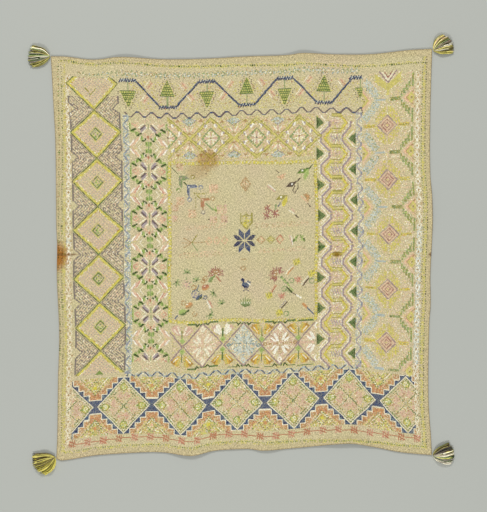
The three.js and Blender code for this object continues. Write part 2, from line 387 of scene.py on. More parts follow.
corners = [(c + side * RUN_HALF, r) for pair in zip(HEAD_RUNS, FOOT_RUNS)
           for c, r in zip(pair, (HEAD_ROW, FOOT_ROW)) for side in (-1, 1)]
corners += [(333, HEAD_ROW), (344, HEAD_ROW)]
stroke(corners, "slate", 2.0)
stroke([(c + 0.5, r + 0.3) for c, r in corners], "navy", 1.3, gap=0.6, on=1.9)
for c, r in [(c, HEAD_ROW) for c in HEAD_RUNS + (339.0,)] + [(c, FOOT_ROW) for c in FOOT_RUNS]:
    far_end = c + (RUN_HALF if c < 330 else 5)
    mottle(window(c - RUN_HALF, r - 1.4, far_end, r + 1.4), frost=0.6)
    for x in np.arange(c - RUN_HALF + 0.4, far_end, 2.7):
        lines(x, r, ONCE, ("navy", 1.3, -1.1, 1.9, 0.7, -1.6), ("slate", 1.0, 0.7, -1.4, 1.6, 1.9))
for c in FOOT_RUNS:
    tree(c, 23.8, 42.2, 7.8, (42, 53))
for c, half_wide in zip(HEAD_RUNS, (8.8, 7.6, 7.6)):
    tree(c, 55.4, 37.0, half_wide, (27.6, 37))
tree(341.6, 48.5, 37.0, 5.0, (27.4, 37))
work(window(344.5, 24, 348, 50), None)
# Sprigs: the column and row of the middle, and the way they lean.
SPRIGS = [(107, 30, -1), (102, 46, -1), (145, 30, 1), (153, 43, 1), (197, 30, -1), (189, 43, -1),
          (232, 29, 1), (243, 42, 1), (284, 29, -1), (275, 43, -1), (321, 31, 1)]
for c, r, lean in SPRIGS:
    for shift, thread in ((-2.1, "cream"), (-0.7, "blush"), (0.8, "rose"), (2.2, "blush")):
        lines(c + shift, r - shift * lean * 0.6, ((1, lean),), (thread, 1.0, -2.4, -3.1, 2.4, 3.1))
    dot(c + 1.6, r + 4.8 * lean, "rust", 1.2)
mottle(window(84, 26, 344, 58) & (chart == 0), FLAT, straw=0.09, yellow=0.02, rust=0.012, tan=0.02)


# %% The waved frame
def wave(start, end, pitch, swing, thread, flat_thread, wide=1.3, shift=0.0):
    """A wave with flat tops and bottoms, the flats a third of the pitch, along a line from start to end."""
    start, end = np.array(start, float), np.array(end, float)
    length = np.hypot(*(end - start))
    ahead = (end - start) / length
    square = np.array([-ahead[1], ahead[0]])
    for k in range(-1, int(np.ceil(length / pitch))):
        marks = []
        for share, side in ((0, -1), (0.2, -1), (0.5, 1), (0.7, 1), (1, -1)):
            run = np.clip((k + share + shift) * pitch, 0, length)
            marks.append(tuple(start + ahead * run + square * side * swing))
        for n in range(4):
            stroke(marks[n:n + 2], thread if n % 2 else flat_thread, wide)


wave((79, 63.8), (344, 62.6), 16.7, 2.5, "plum", "denim", 1.5, 0.72)
mottle(window(80, 352.6, 340, 359.0), pale_blue=0.14, cream=0.1)
wave((78, 356.0), (340, 355.4), 16.6, 2.3, "slate", "pale_blue", 1.5)
mottle(window(75.6, 64, 83.4, 356), pale_blue=0.3, cream=0.2, sage=0.06)
mottle(window(337.4, 64, 344, 356), pale_blue=0.24, cream=0.2)
wave((79.5, 66), (78, 354), 16.6, 2.3, "haze", "pale_blue", 1.5)
wave((340.6, 66), (340.8, 354), 16.6, 2.3, "lilac", "haze", 1.4)

# %% The great diamonds down the left side
SIDE_MIDDLE, SIDE_FIRST, SIDE_PITCH, SIDE_WIDE = 47.0, 29.6, 54.1, 28.6
SIDE_HIGH = SIDE_PITCH / 2


def spine(r):
    """The middle column of the diamonds, which bends out towards the head."""
    return SIDE_MIDDLE - 5 * np.exp(-r / 65)


level = np.mod(row_at - SIDE_FIRST + SIDE_HIGH, SIDE_PITCH) - SIDE_HIGH
aside = abs(column_at - spine(row_at))
banded = (aside < SIDE_WIDE) & (row_at > 20.5) & (row_at < 353)
rise = SIDE_WIDE - abs(level) * SIDE_WIDE / SIDE_HIGH
past, far = aside - rise, aside + rise
lean = np.where((column_at - spine(row_at)) * level > 0, SLANT, BACKSLANT)
field = banded & (past <= -5.2)
mottle(field & checked, FLAT, blush=0.5, pink=0.36)
pips = [(across_count % 4 == at) & (down_count % 4 == at) for at in (0, 2)]
mottle(field & (pips[0] | pips[1]), FLAT, lilac=0.8)
# The side triangles: a scroll lattice that follows the diamonds' sides, with a bare notch at each crossing.
to_crossing = SIDE_HIGH - abs(level)
over = np.mod(past - 1.9, 7.0)
ahead = np.mod(far + 3.5 * np.floor((past - 1.9) / 7.0), 8.4)
scroll = (over < 1.2) & (ahead > 1.4) | (ahead < 1.4) & (over < 5.2) | (abs(over - 4.4) < 0.7) & (ahead < 5.0)
scroll |= (abs(ahead - 4.6) < 0.7) & (over > 2.6) & (over < 5.0)
corner = banded & (past > 1.9) & (row_at > 43)
from_edge = SIDE_WIDE - 0.8 - aside
ground = corner & (from_edge >= 7.0 - to_crossing * 1.25)
rim = corner & (abs(from_edge - 7.2 + to_crossing * 1.25) < 0.9)
mottle(ground, FLAT, blush=0.3, cream=0.1)
for way in (SLANT, BACKSLANT):
    mottle((ground & (scroll | (past < 3.2)) | rim) & (lean == way), way, drab=0.3, taupe=0.64)
work(ground & (from_edge < 1.0), "taupe", UPRIGHT)
for way in (SLANT, BACKSLANT):
    part = banded & (lean == way)
    work(part & (past > -5.2) & (past <= -0.9), "straw", way)
    mottle(part & (past > -3.6) & (past <= -2.0), way, yellow=0.6)
    mottle(part & (past > -5.2) & (past <= -4.0), way, ochre=0.12, cream=0.3)
    work(part & (past > -0.9) & (past <= 0.9), "olive", way)
    mottle(part & (past > -0.9) & (past <= 0.9), way, umber=0.2, green=0.45)
lines(spine(SIDE_FIRST) - 2, SIDE_FIRST + 4, SIDES, ("olive", (1.3, 1.6, 0.5), 0, 5.5, 6.0, -1.5))
for r in SIDE_FIRST + SIDE_PITCH * np.arange(1, 6):
    c = spine(r)
    ring(c, r, 8.0, 8.4, "straw", 0.8)
    ring(c, r, 6.2, 6.6, "green", 1.0)
    mottle(lozenge(c, r, 4.8, 5.2) < 1, FLAT, light_green=0.3, straw=0.3)
    for dc, dr in ((2.2, 0), (-2.2, 0), (0, 2.4), (0, -2.4)):
        dot(c + dc, r + dr, "green", 1.3)
shape(SIDE_MIDDLE, 354, [(0, -5), (5, 0), (-5, 0)], "leaf", FLAT)
work(window(15, 18, 78, 20.5), None)
work(window(28, 18, 64, 24) & (chart == CODE["straw"]), None)

# %% The flower garlands down the second column
GARLAND_C, GARLAND_FIRST, GARLAND_PITCH, GARLANDS = 104.4, 73.4, 53.7, 6
# Leaves of the wreath: column and row from the flower's middle, half length, half width and angle in degrees.
LEAVES = [(1.9, -23.0, 2.9, 1.5, 90), (7.4, -16.8, 2.9, 1.9, 70), (12.6, -11.9, 2.9, 2.1, 60),
          (17.6, -9.0, 2.6, 1.7, 20)]
# Lines of a quarter of the wreath and its flower: thread, width, and the points from the middle.
WREATH = [
    ("light_green", 1.2, 20.0, -7.4, 20.4, 0), ("leaf", (0.9, 1.4, 1), 20.8, -6.0, 20.8, 0),
    ("dark_green", 2.1, 3.0, -17.4, 6.2, -19.8), ("dark_green", 2.1, 8.6, -11.6, 12.0, -14.0),
    ("dark_green", 2.1, 14.2, -6.2, 18.6, -8.2), ("cream", 1.1, 4.4, -18.6, 5.2, -16.6),
    ("lilac", 2.2, 3.6, -4.4, 7.8, -9.2), ("plum", 1.7, 3.4, -2.2, 9.0, -7.2),
    ("cream", 1.0, 2.0, -5.2, 5.6, -10.2), ("cream", 1.2, 5.4, -0.9, 11.2, -5.4),
    ("sage", 0.9, 0, -1.2, 0, -6.6), ("peach", 1.3, 4.2, -11.0, 2.6, -14.2),
    ("rose", 1.1, 15.0, -2.0, 17.2, -1.4, 17.8, 0), ("peach", 1.2, 12.0, 0, 14.6, -3.6),
    ("blush", 1.2, 9.6, -2.6, 13.2, -4.8), ("rust", 2.0, 0, -16.4, 0, -14.4),
    ("pink", 1.0, 1.9, -16.2, 3.4, -14.0)]
for k in range(GARLANDS):
    c, r = GARLAND_C, GARLAND_FIRST + k * GARLAND_PITCH
    # The first and last flowers are worked in one half only.
    turns = [(side, end) for side in (1, -1) for end in {0: (-1,), GARLANDS - 1: (1,)}.get(k, (1, -1))]
    for dc, dr in turns:
        for x, y, long, wide, angle in LEAVES:
            oval(c + dc * x, r + dr * y, long, wide, angle * dc * -dr, "light_green", UPRIGHT)
            oval(c + dc * (x + 0.7), r + dr * (y + 0.6), long * 0.7, 0.9, angle * dc * -dr, "leaf", UPRIGHT)
    lines(c, r, turns, *WREATH)
    mottle((lozenge(c, r, 19, 21) < 1) & (chart == 0), FLAT, blush=0.14, pink=0.05, cream=0.06)
for k in range(GARLANDS - 1):
    c, r = GARLAND_C, GARLAND_FIRST + (k + 0.5) * GARLAND_PITCH
    lines(c, r, ONCE, ("sage", 1.0, 0, -6, 0, 6))
    for n, thread in enumerate(("cream", "rose" if k % 2 else "peach", "blush", "pink", "white")):
        lines(c, r, QUARTERS, (thread, 1.6, 9.0 + 1.9 * n, -11.4 + n, 14.6 + 1.5 * n, -3.4 + n * 0.3))
    lines(c, r, QUARTERS, ("cream", 1.0, 8.0, -4.0, 11.0, -0.6))
    for side in (-18, 18):
        mottle((lozenge(c + side, r, 5, 9) < 1) & (chart == 0), blush=0.3, straw=0.1)

# %% The hexagon column at the right of the middle
HEX_LEFT, HEX_RIGHT, HEX_FIRST, HEX_HALF = 294.0, 335.6, 76.8, 17.55
GOLD = [(309.0, -9.6), (301.4, 0), (309.4, 10.4)]
# Ropes: the columns of their outer and inner flats, and half the inner flat's length.
ROPES = [[(out + 0.2, -1), (out, 3.6), (near, HEX_HALF - half), (near, HEX_HALF + half),
          (out, 2 * HEX_HALF - 3.6)] for out, near, half in ((307.6, 298.2, 4.2), (331.4, 322.4, 3.0))]
mottle(window(292.6, 66, 336, 353), FLAT, blush=0.2, straw=0.14, cream=0.08)
for r in HEX_FIRST + 2 * HEX_HALF * np.arange(8):
    m = r + HEX_HALF
    # Gold hexagons between the ropes, each in two lines, with a hatched heart.
    for middle, thread in ((r, "pink"), (m, "lilac")):
        mottle(lozenge(315, middle, 9.6, 10.2) < 1, pink=0.2, cream=0.14, straw=0.16)
        for step in (-4.2, -1.4, 1.4, 4.2):
            stroke([(313.8 + step, middle - 3.0), (316.0 + step, middle + 3.0)], thread, 1.0)
        dot(315, middle, "mauve", 1.4)
    for shift, thread in ((2.2, "straw"), (0, "ochre"), (0.5, "yellow")):
        stroke([(c + shift, m + y) for c, y in GOLD], thread, 1.2)
        stroke([(628.8 - c - shift, r + y) for c, y in GOLD], thread, 1.2)
    for at in (r - 8.8, r + 8.8):
        lines(0, at, ONCE, ("olive", 1.0, 310, -1.8, 321, -1.8), ("straw", 1.4, 310, 0, 321, 0),
              ("olive", 1.0, 310, 1.8, 321, 1.8))
    # The ropes, mauve with dark dots and a cream line, left and right.
    for rope in ROPES:
        for shift, thread, wide, gap, on in ((-2.2, "cream", 1.0, 1.2, 2.0), (-0.4, "lilac", 1.8, 0, 1.0),
                                             (0.2, "mauve", 1.6, 1.2, 1.3), (2.0, "blush", 1.2, 0.8, 1.6)):
            stroke([(c + shift, r + y) for c, y in rope], thread, wide, gap, on)
    for c, at, turn in ((HEX_LEFT - 0.8, r, 1), (HEX_RIGHT + 1.6, m, -1)):
        shape(c, at, [(0, -7.0), (8.6, 0), (0, 7.0)], "green", FLAT, ((turn, 1),))
        shape(c, at, [(0, -5.6), (3.0, 0), (0, 5.6)], "dark_green", UPRIGHT, ((turn, 1),))
    lines(HEX_LEFT, r, ENDS, ("cream", 1.2, 2.8, -9.2, 10.4, 0))
    lines(HEX_RIGHT, m, ENDS, ("cream", 1.2, -0.6, -9.2, -8.8, 0), ("straw", 1.2, -2.6, -9.8, -10.6, 0))

# %% The rosette row below the waved frame
row_ground = window(127.5, 67.5, 291, 115)
mottle(row_ground & checked, FLAT, blush=0.3, straw=0.3, peach=0.16, tan=0.12)
mottle(row_ground & ~checked, FLAT, cream=0.12, straw=0.08)
# Rosettes: column, row and the thread of the eye.
ROSETTES = [(126.4, 88.8, "umber"), (174.6, 90.0, "umber"), (225.9, 91.4, "plum"), (273.7, 91.6, "rosewood")]
for c, r, eye in ROSETTES:
    turns = QUARTERS if c > 130 else ENDS
    for out, thread in ((25.2, "olive"), (21.6, "olive"), (22.8, "straw"), (24.0, "straw")):
        lines(c, r, turns, (thread, (1.1, 2.6, 0.5), out, 0, 0, out - 1.8))
    lines(c, r, turns, ("sage", (1.4, 2.2, 0.6), 10.4, 0, 0, 11.2), ("sage", (1.0, 1.4, 1.2), 8.8, 0, 0, 9.6),
          ("blush", (1.0, 2, 1), 12.2, 0, 0, 13.0))
    for x, y, angle in ((4.9, 13.8, 60), (12.6, 4.8, -70)):
        for dc, dr in turns:
            oval(c + dc * x, r + dr * y, 2.8, 1.1, angle * dc * dr, "white", UPRIGHT)
            oval(c + dc * (x + 1.6), r + dr * (y + 0.6), 1.8, 0.9, angle * dc * dr, "lilac", UPRIGHT)
    lines(c, r, turns, ("blush", 1.3, 8.6, 10.6, 11.8, 7.4), ("cream", 1.4, 1.4, 1.4, 5.6, 3.0),
          ("cream", 1.5, 1.4, 1.4, 2.6, 6.0), ("pink", 1.5, 3.0, 0, 6.4, 0), ("pink", 1.5, 0, 3.0, 0, 6.6))
    dot(c, r, eye, 2.0)
for c, r in ((150.5, 89.4), (200.3, 90.8), (249.8, 91.5)):
    lines(c, r, QUARTERS, ("straw", 1.4, 0, 0, 5.0, 5.0))
    for end in (-1, 1):
        shape(c, r, [(-3.8, 4.6), (3.8, 4.6), (0, 6.6)], "tan", FLAT, ((1, end),))
        sides = [(side, end) for side in (1, -1)]
        lines(c, r, sides, ("cream", 1.4, 1.6, 8.6, 4.0, 12.4), ("peach", 1.4, 3.4, 8.0, 6.0, 11.6),
              ("pink", 1.4, 0, 8.4, 0, 12.4))
        cap = (lozenge(c, r + end * 19.4, 8.2, 6.0) < 1) & (abs(row_at - r) < 22.4)
        mottle(cap, FLAT, pale_blue=0.3, frost=0.3, sage=0.16)
        lines(c, r, sides, ("mauve", (1.0, 1.2, 1), 0, 14.2, 8.8, 20.6))
        for side in (-1, 1):
            shape(c + 13.0 * side, r, [(-2.8, 18.0), (2.8, 18.0), (0, 21.2)], "tan", FLAT, ((1, end),))

# %% The yellow strips round the middle field
FIELD = [(127.5, 117.0), (291.6, 121.0), (291.4, 299.2), (126.0, 295.6)]
for start, stop in zip(FIELD, FIELD[1:] + FIELD[:1]):
    off, run = from_line(*start, *stop)
    run %= 4.3
    way = way_of(*start, *stop)
    mottle(off < 1.9, way, straw=0.66)
    work((off < 1.2) & (run < 1.5), "yellow", way)
    mottle((off > 0.9) & (off < 2.5) & (run > 2.6), way, olive=0.24, gold=0.2)
    mottle((off < 0.8) & (run > 2.8), way, cream=0.36)

# %% The star diamonds below the middle field
# Each star: its column and row, its petals, its rays and its ground.
STARS = [(163.2, 322.8, "cream", "pink", "blush"), (209.8, 325.2, "frost", "teal", "pale_blue"),
         (251.3, 324.0, "white", "tan", "pink"), (292.8, 325.0, "white", "pink", "blush")]
# Each crossing: its column and row, and the thread of the leaves above it. The leaves below are gold.
PETAL = [(0.8, 12.0), (2.2, 19.0), (4.0, 23.0), (8.2, 22.4), (13.0, 18.4), (9.0, 14.6), (4.4, 11.4)]
CROSSINGS = [(139.9, 322.9, "pink"), (186.0, 324.2, "white"), (230.6, 324.2, "gold"), (272.2, 325.2, "gold")]
mottle(window(128, 300.5, 291, 352) & (chart == 0), FLAT, blush=0.12, straw=0.1, tan=0.03)
for c, r, petal, ray, ground in STARS:
    turns = QUARTERS if c < 290 else ((-1, 1), (-1, -1))
    heart = (lozenge(c, r, 20.6, 22.6) < 1) & (column_at < 291)
    for thread, share in (("blush", 0.66), ("cream", 0.46), (ground, 0.3)):
        work(heart & (chance < share), thread, FLAT)
    lines(c, r, turns, ("mauve", 1.3, 22.2, 0, 0, 24.4), (ray, (0.9, 1.4, 0.8), 0.8, -2, 0.8, -12),
          (ray, (0.9, 1.4, 0.8), 3.0, -0.8, 13.0, -0.8), (ray, 1.0, 4.0, -2.0, 11.6, -5.0))
    for dc, dr in turns:
        oval(c + 4.6 * dc, r - 7.4 * dr, 5.2, 1.7, 62 * dc * dr, petal, UPRIGHT)
        oval(c + 7.8 * dc, r - 4.6 * dr, 4.4, 1.2, 38 * dc * dr, petal)
        lines(c, r, ((dc, dr),), (ray, 1.0, 6.2, -5.8, 9.4, -9.4))
    lines(c, r, turns, (petal, 1.5, 0, -21.6, 2.2, -18.0, 0, -15.2), (ray, 1.2, 14.8, 0, 17.0, -1.8, 19.2, 0))
stroke([(128, 339.5), (139.9, 324), (126.6, 309)], "mauve", 1.5)
work(window(291, 301, 293, 352) & (chart == CODE["mauve"]), None)
for c, r, head in CROSSINGS:
    for end, thread in ((-1, head), (1, "gold")):
        tip, pale, dark = ("ochre", "straw", "umber") if thread == "gold" else ("pink", "cream", "rose")
        lines(c, r, ((1, end),), ("green", 1.1, 0, 3, 0, 18))
        work(lozenge(c, r + 6.0 * end, 3.4, 3.6) < 1, "light_green", FLAT)
        dot(c, r + 6.0 * end, "leaf", 1.4)
        for side in (-1, 1):
            # A leaf: its light lobe, its body and its dark outer tip.
            turn = ((side, end),)
            shape(c, r, PETAL, thread, SLANT if side * end < 0 else BACKSLANT, turn)
            shape(c, r, [(7.4, 19.4), (8.6, 22.6), (13.2, 18.6), (10.0, 16.2)], tip, FLAT, turn)
            lines(c, r, turn, (pale, 1.9, 2.2, 13.4, 4.8, 21.4), ("cream", 1.2, 5.0, 13.6, 9.4, 18.2))
            dot(c + 3.9 * side, r + 17.0 * end, dark, 1.0)
for end, offset in ((-1, 24.9), (1, 25.3)):
    for c, r, *_ in STARS[:3]:
        lines(c, r + end * offset, ((1, end), (-1, end)), ("green", 1.5, 17.0, 0, 8.0, 0),
              ("dark_green", 1.5, 8.0, 0, 6.0, -2.6, 4.0, -0.4), ("green", 1.2, 2.6, -1.6, 1.2, -0.4))
    lines(0, STARS[3][1] + end * offset, ONCE, ("green", 1.5, 272, 0, 289, 0))

# %% The stepped diamonds along the foot
STEP_FIRST, STEP_PITCH, STEP_ROW, STEP_WIDE, STEP_HIGH = 10.4, 64.0, 390.4, 29.4, 31.0
STEP_LEFT, STEP_RIGHT, STEP_FLAT, TREAD, RISER, STEP_LOW = 16.4, 404, 6.6, 6.0, 6.15, 7.4
in_repeat = np.mod(column_at - STEP_FIRST, STEP_PITCH)
junction = abs(in_repeat - STEP_PITCH / 2)
height = abs(row_at - STEP_ROW - 0.2 * np.sin((column_at - 60) / 60))
whole = (column_at > STEP_LEFT) & (column_at < STEP_RIGHT) & (height < 32.0)
stair = STEP_LOW + RISER * np.clip(np.ceil((junction - STEP_FLAT) / TREAD), 0, 4)
to_riser = np.mod(junction - STEP_FLAT, TREAD)
diamond = (STEP_PITCH / 2 - junction) / STEP_WIDE + height / STEP_HIGH
vee = height - (13.4 + 1.13 * junction)
going = np.where((in_repeat < 32) == (row_at < STEP_ROW), BACKSLANT, SLANT)
orange = whole & (height >= stair + 0.9) & (vee < 0)
block = np.floor(junction / TREAD) + 3 * np.floor(column_at / 64) + (row_at > STEP_ROW)
for way in (SLANT, BACKSLANT):
    part = whole & (going == way)
    dark = part & (diamond > 1.02) & (height < stair - 0.2)
    work(dark, "denim", way)
    work(dark & (np.mod(block * 2.3, 3) < 1.2), "navy", way)
    mottle(dark, way, slate=0.5, teal=0.12, navy=0.16)
    mottle(part & (vee >= 0), way, straw=0.36, blush=0.2, tan=0.14, cream=0.1, light_green=0.06)
    work(part & (vee >= -0.4) & (vee < 1.0) & every_other, "green", way)
    work(part & (abs(vee - 2.6) < 0.6) & checked, "cream", way)
    work(part & (abs(vee - 4.6) < 0.7) & checked, "olive", way)
mottle(orange, FLAT, tan=0.3, orange=0.34, rust=0.1, blush=0.14)
mottle(orange & (vee > -3.6) & (junction > 5.4), FLAT, straw=0.34, blush=0.34)
mottle(orange & (junction < 5.4), FLAT, orange=0.5, rust=0.32)
work(whole & (height >= stair - 0.4) & (height < stair + 0.7) & (junction < 31), "cream", FLAT)
riser = (to_riser < 1.0) & (junction > STEP_FLAT) & (height > stair - RISER) & (height < stair + 0.9)
work(whole & riser & (junction < 30.8), "cream", UPRIGHT)
mottle(whole & (junction < 7.0) & (height < 7.0) & (diamond > 1.03), FLAT, denim=0.5, slate=0.4)
for way in (SLANT, BACKSLANT):
    part = whole & (going == way)
    work(part & (diamond <= 0.955), None)
    work(part & (abs(diamond - 1.0) < 0.017), "cream", way)
    work(part & (abs(diamond - 0.935) < 0.022) & every_other, "green", way)
    mottle(part & (abs(diamond - 0.89) < 0.014), way, cream=0.5)
for k in range(7):
    c, r = STEP_FIRST + k * STEP_PITCH, STEP_ROW - 0.3 * k + 0.9
    for end in (-1, 1) if k < 6 else ():
        j, at = c + STEP_PITCH / 2, r + end * 22.4
        mottle((abs(lozenge(j, at, 7.2, 8.0) - 1) < 0.1) & every_other, FLAT, green=0.9)
        mottle(lozenge(j, at, 5.6, 6.2) < 1, straw=0.5, tan=0.2)
        dot(j, at, "orange" if (k + (end > 0)) % 3 == 1 else "peach" if k % 2 else "yellow", 4.2)
    inner = (lozenge(c, r, STEP_WIDE, STEP_HIGH) < 0.86) & whole
    mottle(inner, FLAT, cream=0.06, blush=0.2, straw=0.08, tan=0.12)
    for dc, dr in ((0, -21.4), (0, 20.8), (-20.6, 0), (20.4, 0)):
        # Two hearts beside each eye, then the eye and its two points.
        x, y = (1, 0) if dc == 0 else (0, 1)
        for lobe in (-3.4, 3.4):
            heart = inner & (lozenge(c + dc * 0.52 + lobe * x, r + dr * 0.52 + lobe * y, 4.6, 5.0) < 1)
            mottle(heart, FLAT, pink=0.4, rose=0.05, tan=0.08, blush=0.26)
        near = np.where(whole, np.hypot(column_at - c - dc, row_at - r - dr), ROWS)
        work(near < 4.3, "olive", SLANT)
        mottle(near < 4.3, SLANT, leaf=0.3)
        work(near < 3.3, "straw", FLAT)
        mottle(near < 3.0, FLAT, light_green=0.3, cream=0.3)
        for tip in (-4.8, 4.8):
            if STEP_LEFT < c + dc + tip * y < STEP_RIGHT:
                dot(c + dc + tip * y, r + dr + tip * x, "leaf", 1.5)
    for dc, dr in QUARTERS:
        if STEP_LEFT < c + dc * 8 < STEP_RIGHT:
            broken = (1.0, 1.3, 0.9)
            lines(c, r, ((dc, dr),), ("green", broken, 0.6, 0.6, 10.4, 10.8),
                  ("green", broken, 8.6, 15.4, 14.4, 9.4), ("sage", broken, 10.8, 16.72, 16.6, 10.72))

# %% The knotted line below them
for k in range(23):
    c, r = 16.6 + k * 17.62, 427.4 + 0.9 * np.sin(k * 1.1)
    for shift in (-2.4, 0, 2.4):
        stroke([(c + shift - 0.8, r + 3.4), (c + shift + 0.8, r - 3.4)], "rose" if k % 3 else "rust", 1.3)
    for shift in (-1.5, 1.5):
        stroke([(c - 3.4, r + shift - 1.6), (c + 3.4, r + shift + 1.6)], "rust", 1.2)
    if k:
        stroke([(c - 13.62, r + 0.2), (c - 4, r + 0.2)], "rust", 1.0)

# %% The star column at the right
PANEL_C, PANEL_ROWS = 372.2, (80.9, 141.4, 202.7, 263.7, 323.5)
# The cut corners of each star's yellow frame: half width and half height of the boxes that make it up.
FRAME = ((13.4, 9.4), (11.4, 12.8), (9.2, 15.6), (6.6, 18.6), (4.2, 21.0))
mottle(window(345, 22, 400, 353), FLAT, blush=0.2, cream=0.08, straw=0.05)
c = PANEL_C
for r in PANEL_ROWS:
    dc, dr = abs(column_at - c), abs(row_at - r)
    body = np.any([(dc < half_wide) & (dr < half_high) for half_wide, half_high in FRAME], 0)
    body &= (lozenge(c, r, 12.2, 12.8) > 1) & ((dc > 1.1) | (dr < 13))
    mottle(body, UPRIGHT, straw=0.6, blush=0.22)
    work(body & (np.mod(dc, 3.2) < 1.1) & (chance < 0.5), "yellow", UPRIGHT)
    for side in (-19.0, 19.0):
        arm = window(c + side - 5.8, r - 2.0, c + side + 5.8, r + 1.8)
        mottle(arm, FLAT, straw=0.5, gold=0.22, yellow=0.14)
        mottle(arm & (abs(row_at - r) < 0.6), FLAT, olive=0.5)
    mottle(lozenge(c, r, 11.4, 12.0) < 1, FLAT, pink=0.3, blush=0.5)
    for half_wide, half_high, thread, wide in ((10.8, 11.2, "mauve", 0.9), (8.6, 9.0, "blush", 0.8),
                                               (6.6, 7.0, "rosewood", 0.8)):
        ring(c, r, half_wide, half_high, thread, wide)
    work(lozenge(c, r, 4.8, 5.2) < 1, "blush", FLAT)
    ring(c, r, 3.0, 3.2, "rosewood", 0.7)
    dot(c, r, "straw", 1.8)
# The green hooks of the right side: blocks of columns and rows from the stem's end, rising in steps.
HOOKS = [(14.4 + 2.9 * k, 1.9 + 3.2 * k, 17.3 + 2.9 * k, 8.2 + 3.2 * k) for k in range(4)]
HOOKS += [(24.6, 14.6, 26.0, 21.4), (26.8, 11.6, 28.4, 27.0)]


def step_box(c, r, end, c0, r0, c1, r1):
    """The squares of a box given from a stem, mirrored to its upper or lower end."""
    return window(c + c0, r + min(r0 * end, r1 * end), c + c1, r + max(r0 * end, r1 * end))


for r in [(a + b) / 2 for a, b in zip(PANEL_ROWS, PANEL_ROWS[1:])] + [52.0, 353.6]:
    stem = window(c + 2.6, r - 2.0, c + 15.0, r + 1.8)
    mottle(stem, FLAT, sage=0.5, olive=0.4)
    mottle(stem & (column_at < c + 5.4), FLAT, green=0.5)
    for end in (-1, 1) if r < 340 else (-1,):
        for hook in HOOKS:
            block = step_box(c, r, end, *hook)
            work(block, "sage", UPRIGHT)
            mottle(block, UPRIGHT, light_green=0.24, olive=0.3)
        for k in range(4):
            work(step_box(c, r, end, 15.8 + 2.9 * k, 4.4 + 3.2 * k, 16.9 + 2.9 * k, 7.2 + 3.2 * k), None)
        turn = ((1, end),)
        for k, thread in enumerate(("blush", "peach", "tan", "peach", "blush")):
            lines(c, r, turn, (thread, 1.1, 17.4 + 1.9 * k, 0, 29.0, 12.4 - 2.2 * k))
        lines(c, r, turn, ("pale_blue", 2.6, -3.6, 0, -12.0, 0))
        for k in range(3):
            x, y = c - 13.6 - 4.6 * k, r + (6.4 + 6.0 * k) * end
            mottle(lozenge(x, y, 5.6, 7.4) < 1, UPRIGHT, pale_blue=0.2, frost=0.34, sage=0.06)
        lines(c, r, turn, ("blush", 1.4, -18.4, 0, -27.6, 11.6), ("peach", 1.1, -20.2, 0, -27.6, 9.2),
              ("straw", 2.2, -22.4, 0, -27.6, 6.8))
    ring(c + 26.6, r, 3.4, 4.6, "straw", 2.0, column_at < c + 29.4)
    dot(c + 26.8, r, "olive", 2.2)
    dot(c - 26.4, r + 0.8, "olive", 2.0)
# The cut star at the head of the column.
lines(c, 27.1, SIDES, ("mauve", 1.3, 0, 6.2, 9.4, -6.2), ("cream", 1.2, 0, 3.4, 6.4, -6.0),
      ("rosewood", 1.0, 0, 0.8, 4.2, -6.0))
stroke([(c, 35.5), (c, 46.0)], "straw", 3.0)
for shift in (0, 2.6, 5.2):
    lines(c, 27.1, SIDES, ("straw", 2.2, 2.4, 7.4 + shift, 14.0, -3.0 + shift * 1.3))
work(window(344, 15, 402, 20.5), None)

# %% [markdown]
# ## The middle field
# The plain middle carries loose figures on four diagonals round a dark star: nested leaves, flowers, sprigs
# and a bird. Each figure is a small function, and the tables say where it goes and in which thread. The
# faint line work left and right of the star is kept to a plain lattice.

# %% Figures for the field
def draw(*rows):
    """Single lines of stitches: thread, width, then the column and row of each point on the chart."""
    lines(0, 0, ONCE, *rows)


def elbow(c, r, across, down, thick, thread, dark):
    """A leaf of two arms, one along the row and one down the column, thick at their corner."""
    flat_arm = [(0, 0), (across * 0.7, 0), (across, thick * 0.75), (across * 0.6, thick), (thick, thick)]
    tall_arm = [(0, 0), (0, down * 0.7), (thick * 0.75, down), (thick, down * 0.6), (thick, thick)]
    shape(c, r, flat_arm, thread, UPRIGHT)
    shape(c, r, tall_arm, thread, FLAT)
    broken = (1.5, 1.6, 0.8)
    lines(c, r, ONCE, (dark, broken, 2.4, 0.8, across * 0.8, thick * 0.5),
          (dark, broken, 0.8, 2.4, thick * 0.5, down * 0.8))
    dot(c + thick * 0.6, r + thick * 0.6, "white" if thread == "haze" else "blush", 1.9)


def folded(c, r, lying, hanging, dark):
    """A folded leaf of two lozenges: one lies along the row with a white eye, one hangs from its end."""
    shape(c, r, [(0, 0), (4.6, -4.8), (12.6, -5.0), (7.6, 0.2)], lying)
    if hanging:
        shape(c, r, [(12.8, -4.4), (12.8, 2.6), (8.8, 8.4), (7.0, 5.4), (8.0, 0.4)], hanging, UPRIGHT)
    else:
        lines(c, r, ONCE, (dark, 0.9, 12.6, -4.6, 12.8, 2.6, 8.8, 8.4, 7.2, 4.6, 9.6, -0.4))
    lines(c, r, ONCE, (dark, 0.9, 1.2, -0.8, 5.0, -4.4, 12.4, -4.8))
    dot(c + 6.2, r - 2.6, "white", 2.4)


def fan(c, r, reach, start, stop, count, thread, dark, foot=0.1):
    """A fan of rays with dark middles, between two angles in degrees anticlockwise from the right."""
    for k, angle in enumerate(np.radians(np.linspace(start, stop, count))):
        x, y = np.cos(angle), -np.sin(angle)
        near, far = reach * foot, reach * (0.82 if k % 2 else 1.0)
        lines(c, r, ONCE, (thread, 1.2, x * near, y * near, x * far, y * far))
        if k % 2 == 0:
            dot(c + x * far * 0.55, r + y * far * 0.55, dark, 1.5)


